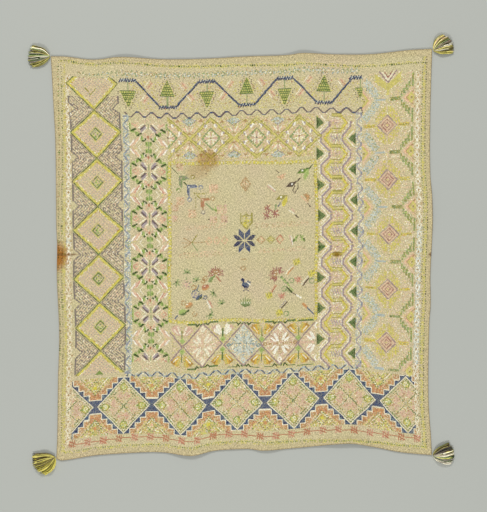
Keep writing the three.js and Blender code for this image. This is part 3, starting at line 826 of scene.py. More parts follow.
def tuft(c, r, thread, dark, facing):
    """A small tuft: five short rays about a dark heart."""
    for angle in np.radians(facing + np.linspace(-100, 100, 5)):
        stroke([(c, r), (c + 4.2 * np.cos(angle), r - 4.2 * np.sin(angle))], thread, 1.2)
    dot(c, r, dark, 2.4)


def curl(c, r, thread, radius):
    """A small ring with a few stitches missing."""
    near = np.hypot(column_at - c, row_at - r)
    work((abs(near - radius) < 0.55) & (chance < 0.85), thread)


# %% The star and the small figures on the upright axis
shape(210.5, 207.5, [(0.6, 1.4), (0.6, 7.7), (6.4, 13.4), (6.2, 6.6)], "denim", UPRIGHT, QUARTERS)
shape(210.5, 207.5, [(1.8, 0.6), (8.4, 0.6), (13.1, 6.6), (7.4, 5.9)], "navy", FLAT, QUARTERS)
c, r = 212.8, 184.6
lines(c, r, SIDES, ("olive", 1.1, 6.2, -8.4, 6.2, 3.4))
lines(c, r, ONCE, ("olive", 1.1, 0, -8.8, 0, 4), ("olive", 1.0, -6, 1.6, 6, 1.6),
      ("olive", 1.3, -6.2, -5.6, -3, -5.0, 0, -7, 3, -5.0, 6.2, -5.6))
mottle(window(c - 5, r - 4.6, c + 5, r + 3), yellow=0.12)
mottle(lozenge(c, r + 3, 5.6, 5.6) < 1, UPRIGHT, yellow=0.3, straw=0.3)
lines(c, r, SIDES, ("olive", 1.1, 6.2, 2.6, 0.6, 9.4))
c, r = 212.7, 143.6
ring(c, r, 5.4, 7.6, "tan", 1.0)
draw(("tan", 1.1, c, 137, c, 151))
lines(c, 145.4, SIDES, ("tan", 0.9, 0, 2.4, 3.0, -1.4))
mottle(lozenge(c, r, 5, 7) < 1, peach=0.25)
# The bird: head, neck, body, wing and feet.
oval(208.9, 252.0, 2.0, 1.7, 0, "navy")
draw(("navy", 1.9, 209.4, 253, 210.4, 255.6))
oval(212.2, 258.0, 4.2, 3.2, -20, "slate", dark="navy")
draw(("white", 1.1, 213.6, 254.8, 217.0, 257.6), ("slate", 1.6, 214.8, 254.0, 217.4, 255.0))
lines(212.4, 261.0, SIDES, ("navy", 1.0, 1.0, 0, 1.4, 3.0, 3.0, 3.4))
# The basket of leaves.
c, r = 211.7, 277.4
basket = (np.hypot((column_at - c) / 6.2, (row_at - r) / 5.2) < 1) & (row_at > r - 0.6)
work(basket, "sage", FLAT)
work(basket & (row_at > r + 2.4), "green", FLAT)
work(basket & (across_count % 3 == 0) & (row_at < r + 1.6), "cream")
for reach in (-5.4, -2.6, 0, 2.6, 5.4):
    draw(("sage", 1.1, c + reach * 0.8, r - 0.6, c + reach, r - 5.4 + abs(reach) * 0.45))
    dot(c + reach * 0.9, r - 2.2, "leaf", 1.3)
ring(209.8, 238.8, 3.0, 2.8, "tan", 0.9)
draw(("tan", 1.0, 207.6, 228.8, 212.4, 228.8))

# %% The upper left diagonal
draw(("dark_green", 1.1, 130.2, 122.2, 136.4, 128.6), ("dark_green", 1.1, 143.4, 138.2, 146.6, 141.2),
     ("olive", 1.0, 158.3, 153.8, 162.0, 157.2), ("sage", 1.0, 167.6, 163.2, 175.8, 171.2))
# Nested leaves: corner column and row, arms across and down, thickness, threads.
elbow(138.0, 131.4, 12.4, 14.2, 4.2, "sage", "drab")
elbow(146.6, 141.2, 13.6, 13.8, 3.8, "haze", "denim")
elbow(162.2, 156.6, 10.6, 13.6, 3.6, "rust", "tan")
lines(155.0, 150.4, ONCE, ("olive", (1.2, 1.4, 0.8), 0, 0, 6, 1.6, 16.2, 0.4),
      ("olive", (1.2, 1.4, 0.8), 0, 0, 1.4, 6, 1.2, 15.8), ("straw", (1.0, 1, 1.2), 2, 2, 12.6, 2.6))
for c, r, thread in ((162.4, 144.8, "haze"), (149.6, 157.6, "haze"), (137.6, 147.6, "leaf"),
                     (153.4, 132.4, "olive"), (175.4, 158.4, "tan"), (164.6, 173.0, "drab")):
    curl(c, r, thread, 2.0)
    dot(c, r, "cream", 1.2)
tuft(178.8, 172.0, "light_green", "leaf", 45)
# Faint flowers by thread: column, row and reach.
FAINT = {"peach": ((139.8, 159.6, 4.6), (177.0, 147.4, 5.0), (152.6, 173.2, 4.4), (139.0, 121.6, 4.2)),
         "pink": ((133.2, 167.2, 3.4), (132.6, 179.6, 3.6), (185.4, 171.0, 5.4), (176, 182, 4.4),
                  (188, 181.6, 4.4))}
for thread, flowers in FAINT.items():
    for c, r, reach in flowers:
        mottle(window(c - reach, r - reach, c + reach, r + reach), blush=0.4, **{thread: 0.24}, tan=0.14)
for c, r in ((171.2, 181.6), (189.8, 184.4), (189.5, 162.6), (168.2, 129.8)):
    dot(c, r, "umber", 1.5)

# %% The upper right diagonal
draw(("dark_green", 1.1, 288.8, 124.0, 284.4, 129.4), ("umber", 1.1, 275.0, 138.8, 271.4, 142.2))
folded(270.9, 133.6, "leaf", "light_green", "dark_green")
folded(258.4, 147.6, "umber", None, "umber")
folded(245.8, 162.0, "olive", "yellow", "olive")
for c, r in ((237.0, 171.4), (236.0, 179.2), (245.6, 177.4)):
    fan(c, r, 4.8, 60, 330, 7, "rosewood", "rust")
    dot(c + 1.4, r - 1.0, "cream", 1.4)
draw(("sage", 1.7, 246, 167.4, 245.4, 172.4), ("slate", 1.1, 250.4, 166.0, 248.6, 169.4))
fan(253.0, 134.6, 4.6, 200, 380, 7, "peach", "tan")
draw(("umber", 1.1, 247.6, 128.4, 250.6, 131.8))
fan(279.8, 161.4, 4.8, -60, 120, 9, "tan", "orange")
draw(("peach", 1.2, 274.6, 159.8, 281.8, 168.0), ("umber", 1.1, 281.8, 168.6, 284.2, 171.6),
     ("pink", 1.4, 237.6, 146.0, 244.9, 152.4), ("white", 1.0, 238.8, 144.6, 246.0, 151.0),
     ("cream", 1.4, 260.8, 174.2, 266.0, 178.6), ("pink", 1.4, 263.4, 172.6, 266.4, 176.2),
     ("umber", 0.9, 267.6, 180.0, 271.0, 183.4))

# %% The row of faint figures at the star's level
for c, edge, fill in ((229.0, "tan", "peach"), (250.3, "rust", "peach"), (240.0, "olive", "straw")):
    ring(c, 206.4, 4.0, 4.6, edge, 1.0)
    mottle(lozenge(c, 206.4, 3.6, 4.0) < 1, **{fill: 0.4})
lines(262.2, 208.0, ONCE, ("pink", 1.2, -1.6, -5.6, 2.0, 5.4), ("white", 1.0, 0.6, -4.4, 2.6, 5.4))
lines(271.6, 206.8, SIDES, ("leaf", 1.4, 1.2, -3.4, 4.4, 1.2, 6.0, 3.4),
      ("light_green", 1.3, 4.4, -2.6, 3.0, 2.8), ("dark_green", 1.2, 5.2, 0.4, 6.6, 2.6))
lines(151.4, 206.4, ONCE, ("tan", (1.0, 2.4, 1.0), -10.6, 0, 17.0, 0), ("tan", 0.9, 0, 0, -9.4, -5.6),
      ("olive", 1.0, 0, 0, 6.0, -8.8), ("tan", 0.9, 0, 0, -9.4, 5.6), ("sage", 1.0, 0, 0, 6.0, 8.8))
for c in (170.6, 179.4, 188.2):
    ring(c, 206.2, 3.4, 4.4, "peach", 0.8)
    dot(c, 206.2, "tan", 1.4)
# Two faint checked rows above and below the star's level.
for box in ((144, 187.0, 190, 192.4), (137, 217, 186, 224), (222, 187, 282, 193), (226, 216, 280, 221)):
    mottle(window(*box) & (chart == 0) & checked, FLAT, blush=0.34, tan=0.1, peach=0.1)

# %% The lower left diagonal
fan(178.8, 244.6, 8.8, -8, 188, 13, "rosewood", "rust", 0.3)
fan(178.8, 244.6, 6.4, 20, 160, 7, "tan", "cream", 0.2)
draw(("rust", 1.6, 179.6, 247.0, 183.8, 252.4), ("leaf", 1.3, 177.6, 245.4, 174.4, 250.4))
oval(173.0, 250.4, 3.4, 2.2, 60, "sage", dark="leaf")
oval(166.8, 258.0, 4.2, 3.2, 10, "rust", dark="orange")
dot(166.0, 256.2, "cream", 1.5)
curl(155.6, 264.0, "slate", 4.2)
mottle(lozenge(155.0, 265.0, 5, 5) < 1, lilac=0.4)
oval(159.6, 268.4, 4.4, 2.1, 35, "slate", dark="dark_green")
draw(("slate", 1.0, 157.0, 259.6, 159.6, 254.6))
oval(148.0, 276.6, 4.8, 2.7, 30, "orange", dark="tan")
dot(146.0, 275.6, "white", 1.5)
oval(140.4, 284.6, 4.8, 3.3, 20, "light_green", dark="green")
draw(("dark_green", 1.8, 143.6, 284.6, 147.6, 281.8), ("slate", 1.3, 134.6, 288.6, 131.8, 292.4))
# Tufts: column, row and the angle that they face.
for c, r, facing in ((146.7, 239.6, 90), (157.0, 248.6, 100), (134.4, 251.0, 315), (176.2, 265.4, 200),
                     (184.8, 277.6, 120), (171.4, 289.6, 300)):
    tuft(c, r, "sage", "dark_green", facing)
    dot(c + 1.6 * np.cos(np.radians(facing)), r - 1.6 * np.sin(np.radians(facing)), "light_green", 1.5)
fan(146.4, 253.0, 5.6, 30, 300, 7, "pink", "mauve")
draw(("sage", 0.9, 145.0, 244.4, 146.4, 250.2))
lines(170.2, 278.2, ONCE, ("white", 1.5, -1.8, -4.2, 1.8, 4.2), ("rose", 1.0, 0.4, -4.6, 4.0, 3.0))
draw(("sage", 0.9, 172.6, 282.6, 173.8, 286.8))
curl(166.4, 269.4, "slate", 1.7)
for c, r in ((167.0, 248.0), (153.8, 256.4), (164.6, 250.6), (141.6, 274.0), (154.0, 286.2)):
    curl(c, r, "tan", 2.4)

# %% The lower right diagonal
fan(247.8, 246.0, 8.8, 60, 262, 14, "rosewood", "rust", 0.3)
fan(247.8, 246.0, 7.6, 20, 90, 5, "rosewood", "rose", 0.4)
fan(247.8, 246.0, 5.6, 70, 220, 6, "tan", "cream", 0.2)
for k in range(6):
    dot(252.4 + 1.5 * k, 249.4 + 1.7 * k, "light_green" if k % 2 else "sage", 2.4)
    dot(253.4 + 1.5 * k, 248.4 + 1.7 * k, "green", 1.2)
draw(("dark_green", 1.7, 258.4, 261.0, 264.2, 267.4), ("light_green", 1.3, 259.6, 258.2, 265.8, 265.4),
     ("sage", 1.1, 256.6, 262.4, 262.0, 268.0), ("umber", 0.9, 264.8, 267.6, 269.4, 271.0),
     ("white", 1.8, 269.8, 271.2, 274.4, 274.4), ("orange", 2.4, 276.6, 281.2, 281.0, 285.6),
     ("slate", 1.2, 281.2, 285.8, 289.2, 293.6))
for c, r in ((269.8, 233.4), (286.6, 247.4), (238.6, 269.4), (250.2, 289.4)):
    oval(c, r, 3.8, 3.4, 0, "yellow")
    fan(c, r, 5.0, 60, 330, 7, "straw", "olive", 0.3)
    dot(c - 1.0, r + 1.6, "olive", 1.9)
# Striped strokes: from, to, dark thread and pale thread.
for c, r, x, y, dark, pale in ((259.4, 246.8, 266.0, 239.2, "orange", "cream"),
                               (241.6, 265.6, 246.6, 258.8, "rust", "peach"),
                               (276.8, 260.4, 283.8, 252.4, "umber", "cream"),
                               (252.4, 284.2, 258.6, 277.6, "umber", "lilac")):
    draw((dark, 1.4, c, r, x, y), (pale, (1.4, 1.4, 1.0), c - 1.6, r - 1.4, x - 1.6, y - 1.4))
for c, r in ((271.4, 253.6), (252.6, 270.6)):
    fan(c, r, 3.9, 45, 360, 7, "rose", "rust")
for c, r in ((264.2, 253.8), (255.6, 262.6), (257.8, 291.0), (286.8, 255.6)):
    curl(c, r, "sage", 2.6)
worked_count = np.count_nonzero(chart)
print("stitches:", worked_count, "on", round(worked_count / chart.size * 100), "% of the squares")

# %% [markdown]
# ## The ground cloth
# The linen is about a millimetre thick, doubled at the turned hem, raised along the old fold and lifted off
# the table here and there at the hem. A cloth simulation would drape it afresh each time. The folds are old
# and known, so each one is a soft hump at a measured place, added to the height of both skins.

# %% Thickness, fold and lifts of the cloth
WIDTH, HEIGHT = 685.8, 723.6
THICK, HEM_WIDTH, HEM_EXTRA, HEM_STEP = 1.2, 10.0, 0.8, 3.0
CREASE_AT, CREASE_HALF, CREASE_RISE = 0.492, 8.0, 0.6
# Columns: edge, share of the edge, half length as a share, how far in it runs and how high it rises, in mm.
HEM_LIFTS = [
    ("foot", 0.36, 0.075, 26, 4.2), ("foot", 0.77, 0.1, 34, 5.0), ("foot", 0.56, 0.05, 20, 2.4),
    ("head", 0.2, 0.07, 22, 2.6), ("head", 0.66, 0.06, 20, 3.0), ("left", 0.5, 0.05, 18, 2.0),
    ("right", 0.4, 0.08, 22, 2.6),
]


def hump(t):
    """A soft hump: 1 in the middle, falling as a squared cosine to 0 at one unit either side."""
    return np.cos(np.pi / 2 * np.clip(t, -1, 1)) ** 2


def under_at(u, v):
    """Height of the underside: the highest lift at each point, and slight puckers that fade in the flat
    middle."""
    from_edge = {"head": v * HEIGHT, "foot": (1 - v) * HEIGHT, "left": u * WIDTH, "right": (1 - u) * WIDTH}
    run = {"head": u, "foot": u, "left": v, "right": v}
    high = np.zeros(np.broadcast(u, v).shape)
    for edge, at, half, reach, rise in HEM_LIFTS:
        high = np.maximum(high, rise * hump((run[edge] - at) / half) * hump(from_edge[edge] / reach))
    inset = np.minimum.reduce([from_edge[edge] for edge in from_edge])
    ripple = np.sin(u * 61 + 3 * np.sin(v * 9)) * np.sin(v * 57 + 3 * np.sin(u * 8)) + 1
    return high + 0.22 * ripple * (0.35 + hump(inset / 60))


def over_at(u, v):
    """Height of the upper skin: the underside, the cloth's thickness, the hem's second layer and the fold's
    ridge."""
    inset = np.minimum.reduce([u * WIDTH, (1 - u) * WIDTH, v * HEIGHT, (1 - v) * HEIGHT])
    hem = np.clip((HEM_WIDTH + HEM_STEP - inset) / HEM_STEP, 0, 1)
    ridge = CREASE_RISE * hump((v - CREASE_AT) * HEIGHT / CREASE_HALF) * (1 - hem)
    return under_at(u, v) + THICK + HEM_EXTRA * hem + ridge


def build(name, points, faces):
    """A smooth mesh object from points in millimetres and faces that all have the same number of corners."""
    mesh = bpy.data.meshes.new(name)
    sides = faces.shape[1]
    mesh.vertices.add(len(points))
    mesh.vertices.foreach_set("co", (np.asarray(points) / 1000).astype(np.float32).ravel())
    mesh.loops.add(faces.size)
    mesh.loops.foreach_set("vertex_index", faces.astype(np.int32).ravel())
    mesh.polygons.add(len(faces))
    mesh.polygons.foreach_set("loop_start", np.arange(0, faces.size, sides, dtype=np.int32))
    mesh.update(calc_edges=True)
    mesh.shade_smooth()
    piece = bpy.data.objects.new(name, mesh)
    bpy.context.scene.collection.objects.link(piece)
    return piece


def add_uv(piece, name, uv):
    """A UV map from one pair for each corner of each face."""
    layer = piece.data.uv_layers.new(name=name)
    layer.data.foreach_set("uv", np.asarray(uv, np.float32).ravel())


def carry_colour(piece, rgb):
    """Gives each point of a piece the colour of its thread."""
    rgba = np.column_stack([rgb, np.ones(len(rgb))]).astype(np.float32)
    attribute = piece.data.color_attributes.new("thread_colour", "FLOAT_COLOR", "POINT")
    attribute.data.foreach_set("color", rgba.ravel())


# %% The cloth as two skins over one grid
def grid_lines(length, cells):
    """Shares along one side: close together at the hem, even between."""
    hem = np.array([0, 0.8, 4.0, 8.5, HEM_WIDTH, HEM_WIDTH + HEM_STEP]) / length
    return np.sort(np.concatenate([hem, 1 - hem, np.linspace(hem[-1], 1 - hem[-1], cells + 1)[1:-1]]))


MARGIN, RIM_MARGIN = 0.012, 0.009
us, vs = grid_lines(WIDTH, 132), grid_lines(HEIGHT, 150)
V, U = np.meshgrid(vs, us, indexing="ij")
flat_xy = place(U, V)
upper = np.dstack([flat_xy, over_at(U, V)])
lower = np.dstack([flat_xy, under_at(U, V)])
number = np.arange(U.size).reshape(U.shape)
a, b, c, d = number[:-1, :-1], number[:-1, 1:], number[1:, 1:], number[1:, :-1]
top_faces = np.stack([a, d, c, b], -1).reshape(-1, 4)
under_faces = top_faces[:, ::-1] + U.size
rim = np.concatenate([number[0, :-1], number[:-1, -1], number[-1, :0:-1], number[:0:-1, 0]])
after = np.roll(rim, -1)
rim_faces = np.stack([rim, after, after + U.size, rim + U.size], -1)
cloth_points = np.concatenate([upper.reshape(-1, 3), lower.reshape(-1, 3)])
cloth = build("linen_ground", cloth_points, np.concatenate([top_faces, under_faces, rim_faces]))
spread = np.stack([U.ravel(), 1 - V.ravel()], -1)
inner = MARGIN + (1 - 2 * MARGIN) * spread
outer = inner + RIM_MARGIN * np.sign(np.round((spread - 0.5) * 2.0001))
corner_uv = np.concatenate([inner[top_faces.ravel()], inner[under_faces.ravel() - U.size]])
rim_uv = np.stack([inner[rim], inner[after], outer[after], outer[rim]], 1).reshape(-1, 2)
add_uv(cloth, "OFBake", np.concatenate([corner_uv, rim_uv]))
add_uv(cloth, "threads", np.concatenate([spread[top_faces.ravel()], spread[under_faces.ravel() - U.size],
                                         spread[rim_faces.ravel() % U.size]]))
print("cloth:", len(cloth.data.polygons), "faces")

# %% [markdown]
# ## The stitches
# Each square of the chart becomes one raised loop of thread, laid from corner to corner of its square or
# along it. A bump map would fake them, and it would look painted from the side. Real loops catch the light,
# and six faces are enough for each: a hipped roof whose foot sinks into the linen.

# %% Stains of age and a painted shade along the fold, which darken linen and thread alike
# Columns: name, middle across and up, half sizes, in mm; colour 0 to 255; strength.
STAINS_AND_SHADE = [
    ("rust_edge", -333, -2, 17, 25, (172, 112, 42), 0.95),
    ("rust_line", -322, 1, 26, 2.2, (120, 82, 40), 0.8),
    ("rust_spot", 168, 1.5, 9, 5.5, (150, 112, 40), 0.9),
    ("rust_nick", 337, 1, 5, 4, (120, 90, 60), 0.8),
    ("brown_wear", -64, 172, 21, 20, (168, 128, 66), 0.7),
    ("tan_wear", -84, 151, 24, 15, (184, 150, 96), 0.45),
    # Not a stain: a painted shade along the old fold.
    ("fold_shade", 0, 1, 345, 1.6, (176, 158, 112), 0.14),
]


def stains_and_shade_at(x, y):
    """Colour and strength of the stains and of the painted shade along the fold, at points in mm: the
    strongest at each point wins.
    """
    tint, strength = np.ones((len(x), 3)), np.zeros(len(x))
    for _, mx, my, half_x, half_y, colour, most in STAINS_AND_SHADE:
        near = most * np.clip(1.25 - np.hypot((x - mx) / half_x, (y - my) / half_y), 0, 1)
        tint = np.where((near > strength)[:, None], np.array(colour), tint)
        strength = np.maximum(strength, near)
    return tint, strength


def linear(colour):
    """Colour values as light, from values as seen from 0 to 255: the screen's power curve undone."""
    share = np.asarray(colour, float) / 255
    return np.where(share <= 0.04045, share / 12.92, ((share + 0.055) / 1.055) ** 2.4)


# %% Loops of thread from the chart
TONES, STAIN_AND_SHADE_STEPS = 8, 3
# Sizes of a loop in mm: half width on the slant and straight, height, depth of its feet. The hip is a share.
HALF_WIDE, HIGH, SINK, HIP, WOBBLE = (0.74, 0.86), (0.5, 0.72), 0.12, 0.26, 0.07
rng = np.random.default_rng(11)
tone_field = rng.normal(0, 1, chart.shape)
palette = np.array([THREADS[name] for name in THREAD_NAMES], float)


def stitches(name, where):
    """One piece with a loop for every worked square of the mask, its feet on a diagonal or a middle line."""
    r, c = np.nonzero(where & (chart > 0))
    way, code = lay[r, c], chart[r, c].astype(int) - 1
    ends = {SLANT: ((0, 1), (1, 0)), BACKSLANT: ((0, 0), (1, 1)), FLAT: ((-0.05, 0.5), (1.05, 0.5)),
            UPRIGHT: ((0.5, -0.05), (0.5, 1.05))}
    start = np.array([ends[w][0] for w in range(4)])[way] + rng.uniform(-WOBBLE, WOBBLE, (len(r), 2))
    stop = np.array([ends[w][1] for w in range(4)])[way] + rng.uniform(-WOBBLE, WOBBLE, (len(r), 2))
    p, q = [place((c + s[:, 0]) / COLUMNS, (r + s[:, 1]) / ROWS) for s in (start, stop)]
    ground = over_at((c + 0.5) / COLUMNS, (r + 0.5) / ROWS)
    ahead = (q - p) / np.hypot(*(q - p).T)[:, None]
    square = np.stack([-ahead[:, 1], ahead[:, 0]], -1)
    wide = np.where(way < 2, *HALF_WIDE)[:, None] * rng.uniform(0.88, 1.1, (len(r), 1))
    high = ground + rng.uniform(*HIGH, len(r))
    low = ground - SINK
    far = np.hypot(*(q - p).T)[:, None] * HIP
    feet = [p - square * wide, q - square * wide, q + square * wide, p + square * wide]
    ridge = [p + ahead * far, q - ahead * far]
    corners = [np.column_stack([xy, low]) for xy in feet] + [np.column_stack([xy, high]) for xy in ridge]
    points = np.stack(corners, 1)
    pattern = np.array([(0, 1, 5), (0, 5, 4), (1, 2, 5), (2, 3, 4), (2, 4, 5), (3, 0, 4)])
    faces = (np.arange(len(r))[:, None, None] * 6 + pattern).reshape(-1, 3)
    piece = build(name, points.reshape(-1, 3), faces)

    middle = (p + q) / 2
    # The stains and the painted shade along the fold darken the thread as well.
    tint, strength = stains_and_shade_at(middle[:, 0], middle[:, 1])
    step = np.round(strength * (STAIN_AND_SHADE_STEPS - 1)).astype(int)
    amount = (step / (STAIN_AND_SHADE_STEPS - 1))[:, None] * 0.75
    tone = np.clip(np.round(3.4 + 1.5 * tone_field[r, c]), 0, TONES - 1).astype(int)
    seen = palette[code] * (0.86 + 0.035 * tone)[:, None]
    colour = linear(np.clip(seen * (1 - amount) + seen / 255 * tint * amount * 1.1, 0, 255))
    carry_colour(piece, np.repeat(colour, 6, 0))

    local = np.array([(0, 0), (1, 0), (1, 1), (0, 1), (HIP, 0.5), (1 - HIP, 0.5)])[pattern.ravel()]
    local = np.tile(local, (len(r), 1))
    add_uv(piece, "stitch", local)
    kinds = len(THREAD_NAMES) * STAIN_AND_SHADE_STEPS
    cell = np.repeat(np.column_stack([code + len(THREAD_NAMES) * step, tone]), 18, 0)
    add_uv(piece, "OFBake", np.column_stack([(cell[:, 0] + 0.08 + 0.84 * local[:, 0]) / kinds,
                                             (cell[:, 1] + 0.08 + 0.84 * local[:, 1]) / TONES]))
    print(name, len(r), "stitches,", len(faces), "faces")
    return piece


head_part = row_at < 67
foot_part = row_at >= 352.5
left_part = ~head_part & ~foot_part & (column_at < 124)
right_part = ~head_part & ~foot_part & (column_at >= 290)
middle_part = ~(head_part | foot_part | left_part | right_part)
worked = [stitches("stitches_" + name, where) for name, where in
          (("head", head_part), ("foot", foot_part), ("left", left_part), ("right", right_part),
           ("middle", middle_part))]

# %% [markdown]
# ## The tassels
# A tassel is a bundle of yarn ends tied at the cloth's corner. Hair particles would be quicker to scatter,
# and no program downstream could use them. So each yarn end is a thin tube along a short path: it leaves
# the knot, turns with the sweep of its tassel, and settles on the table.

# %% Yarn ends and knots
# Columns: node, heading, spread at the knot and sweep in degrees from above, reach in mm, and the yarns
# that lie together in bunches, from the right of the tassel round to its left, seen from its knot.
TASSELS = [
    ("tassel_head_left", 180, 78, 2, 40, "straw cream umber cream taupe dark_green sage straw cream straw"),
    ("tassel_head_right", 32, 84, -16, 37, "straw cream olive straw umber sage cream olive blush straw"),
    ("tassel_foot_right", 6, 80, 6, 39, "cream sage dark_green cream drab straw umber straw sage taupe"),
    ("tassel_foot_left", 214, 84, -20, 42, "straw umber yellow straw olive straw yellow umber straw yellow"),
]
HEAD_RADIUS, GAP, ROOT = 6.5, 0.3, 5.0
ENDS_A_TASSEL, END_STEPS, END_SIDES, LOWEST = 170, 11, 4, 0.75
SQUARE = np.array([(0, 0), (0, 1), (1, 1), (1, 0)])


def yarn_ends(heading, spread, sweep, reach, seed):
    """Middle lines of the yarn ends about the knot: a wide fan at first, then bent to lie side by side."""
    pick = np.random.default_rng(seed)
    n = ENDS_A_TASSEL
    t = np.linspace(0, 1, END_STEPS)[None, :]
    layer = pick.uniform(0, 1, (n, 1))
    side = np.sort(pick.uniform(-1, 1, (n, 1)), axis=0)
    pace = reach * pick.uniform(0.84, 1.0, (n, 1)) / (END_STEPS - 1)
    crimp = np.sin(2 * np.pi * (pick.uniform(1.0, 2.2, (n, 1)) * t + pick.random((n, 1))))
    turn = np.radians(heading + spread * side * (0.1 + 0.9 * (1 - t) ** 1.5) + sweep * t**2 + 9 * t * crimp)
    x, y = [np.cumsum(way(turn) * pace, 1) - pace * way(turn[:, :1]) - ROOT * way(np.radians(heading))
            for way in (np.cos, np.sin)]
    crown = (3.2 + 7.0 * np.sin(np.pi * np.clip(0.12 + 0.8 * t, 0, 1))) * (1 - 0.5 * side**2)
    z = 0.8 + layer * crown + 0.35 * np.sin(2 * np.pi * (2.2 * t + pick.random((n, 1)))) * t
    return np.stack([x, y, np.maximum(z, LOWEST)], -1), side[:, 0]


def skin(number):
    """Faces between rings of numbered points, each ring joined to the next."""
    here, there = number[..., :-1, :], number[..., 1:, :]
    return np.stack([here, np.roll(here, -1, -1), np.roll(there, -1, -1), there], -1).reshape(-1, 4)


def tubes(paths, radius):
    """Tubes round middle lines, one ring of points at each step; their lines never run upright."""
    ahead = np.gradient(paths, axis=1)
    ahead /= np.linalg.norm(ahead, axis=2, keepdims=True)
    aside = np.cross(ahead, [0, 0, 1.0])
    aside /= np.linalg.norm(aside, axis=2, keepdims=True)
    over = np.cross(aside, ahead)
    angles = (2 * np.pi * np.arange(END_SIDES) / END_SIDES + np.pi / 4)[:, None]
    ring_points = aside[:, :, None] * np.cos(angles) + over[:, :, None] * np.sin(angles)
    points = paths[:, :, None] + ring_points * radius[:, :, None, None]
    number = np.arange(points[..., 0].size).reshape(points.shape[:3])
    return points.reshape(-1, 3), np.concatenate([skin(number), number[:, -1]])


def knot(sides=18):
    """The bound knot: a squat ball, flat beneath, with a groove where the binding goes round."""
    profile = np.array([(0.05, 0.4), (2.8, 0.4), (3.4, 1.4), (3.4, 2.4), (3.0, 3.0), (3.1, 3.6), (2.4, 4.4),
                        (1.2, 4.9), (0.05, 5.0)])
    angle = 2 * np.pi * np.arange(sides) / sides
    ribs = 1 + 0.03 * np.cos(angle * 6)
    points = np.stack([profile[:, :1] * np.cos(angle) * ribs, profile[:, :1] * np.sin(angle) * ribs,
                       np.repeat(profile[:, 1:], sides, 1)], -1)
    return points.reshape(-1, 3), skin(np.arange(len(profile) * sides).reshape(-1, sides))


# %% The four tassels
tassels = []
for n, (name, heading, spread_deg, sweep, reach, yarns) in enumerate(TASSELS):
    paths, side = yarn_ends(heading, spread_deg, sweep, reach, 40 + n)
    radius = np.broadcast_to(0.72 - 0.16 * np.linspace(0, 1, END_STEPS) ** 2, paths.shape[:2])
    end_points, end_faces = tubes(paths, radius)
    knot_points, knot_faces = knot()
    x, y = CORNERS[name.removeprefix("tassel_")]
    middle = np.array([x + np.sign(x) * (HEAD_RADIUS + GAP), y, 0])
    piece = build("yarn_" + name, np.concatenate([end_points, knot_points]) + middle,
                  np.concatenate([end_faces, knot_faces + len(end_points)]))
    pick = np.random.default_rng(60 + n)
    bunches = [THREADS[thread] for thread in yarns.split()]
    bunch = (side + np.repeat(pick.normal(0, 0.5, len(side)), 2)[:len(side)] + 1) / 2 * len(bunches)
    bunch = np.clip(bunch, 0, len(bunches) - 1).astype(int)
    tone = np.repeat(pick.integers(0, TONES, ENDS_A_TASSEL), 2)[:ENDS_A_TASSEL]
    colours = np.array(bunches, float)[bunch] * (0.62 + 0.1 * tone)[:, None]
    rgb = np.tile(linear(np.array(THREADS["olive"]) * 0.95), (len(piece.data.vertices), 1))
    rgb[:len(end_points)] = np.repeat(linear(colours), END_STEPS * END_SIDES, 0)
    carry_colour(piece, rgb)
    step = np.tile(np.repeat(np.arange(END_STEPS - 1), END_SIDES), ENDS_A_TASSEL)
    side = np.tile(np.arange(END_SIDES), ENDS_A_TASSEL * (END_STEPS - 1))
    low = np.stack([step, side], -1)[:, None] + SQUARE
    add_uv(piece, "stitch", np.concatenate([(low / [1.0, END_SIDES]).reshape(-1, 2),
                                            np.tile(SQUARE, (ENDS_A_TASSEL + len(knot_faces), 1))]))
    tassels.append(piece)
    print(piece.name, len(piece.data.polygons), "faces")

# %% [markdown]
# ## Materials
# One thread material serves every stitch and yarn end; it reads the colour that each loop carries and adds
# the twist of the ply, as painted shade in the grooves between the plies. A material per colour would need
# thirty slots for the same result. The linen is built from shared groups of nodes: the weave, which gives the
# cloth its grain, and the stain, which is placed once for each mark of age and once for a painted shade along
# the fold.

# %% Node tools
def new_tree(material_name):
    """A material with an empty tree of nodes."""
    material = bpy.data.materials.new(material_name)
    material.use_nodes = True
    tree = material.node_tree
    tree.nodes.clear()
    return material, tree


def node(tree, kind, inputs=(), **settings):
    """Adds a node, sets its properties, then fills its inputs with plain values or links from other
    outputs."""
    made = tree.nodes.new(kind)
    for key, value in settings.items():
        setattr(made, key, value)
    for key, value in dict(inputs).items():
        socket = made.inputs[key]
        if isinstance(value, bpy.types.NodeSocket):
            tree.links.new(value, socket)
        else:
            socket.default_value = value
    return made


def maths(tree, operation, *values, clamp=False):
    """One sum with plain numbers."""
    made = node(tree, "ShaderNodeMath", dict(enumerate(values)), operation=operation, use_clamp=clamp)
    return made.outputs[0]


def vector(tree, operation, *values):
    """One sum with places or directions."""
    made = node(tree, "ShaderNodeVectorMath", dict(enumerate(values)), operation=operation)
    return made.outputs["Value" if operation == "LENGTH" else 0]


def noise(tree, at, scale, detail):
    """Soft random patches, 0 to 1."""
    return node(tree, "ShaderNodeTexNoise", {"Vector": at, "Scale": scale, "Detail": detail}).outputs[0]


def mixed(tree, amount, one, two, blend="MIX"):
    """Two colours mixed by an amount."""
    made = node(tree, "ShaderNodeMix", {0: amount, 6: one, 7: two}, data_type="RGBA", blend_type=blend)
    return made.outputs[2]


def darkened(tree, colour, shade):
    """A colour times a plain number."""
    grey = node(tree, "ShaderNodeCombineColor", {0: shade, 1: shade, 2: shade}).outputs[0]
    return mixed(tree, 1.0, colour, grey, "MULTIPLY")


def surface(tree, colour, rough, shine, **more):
    """The shader that ends a material, with its colour, roughness and gloss."""
    given = {"Base Color": colour, "Roughness": rough, "Specular IOR Level": shine, **more}
    shader = node(tree, "ShaderNodeBsdfPrincipled", given)
    node(tree, "ShaderNodeOutputMaterial", {"Surface": shader.outputs[0]})


def paint(colour):
    """A colour as seen, 0 to 255, as a node takes it."""
    return (*linear(colour), 1.0)


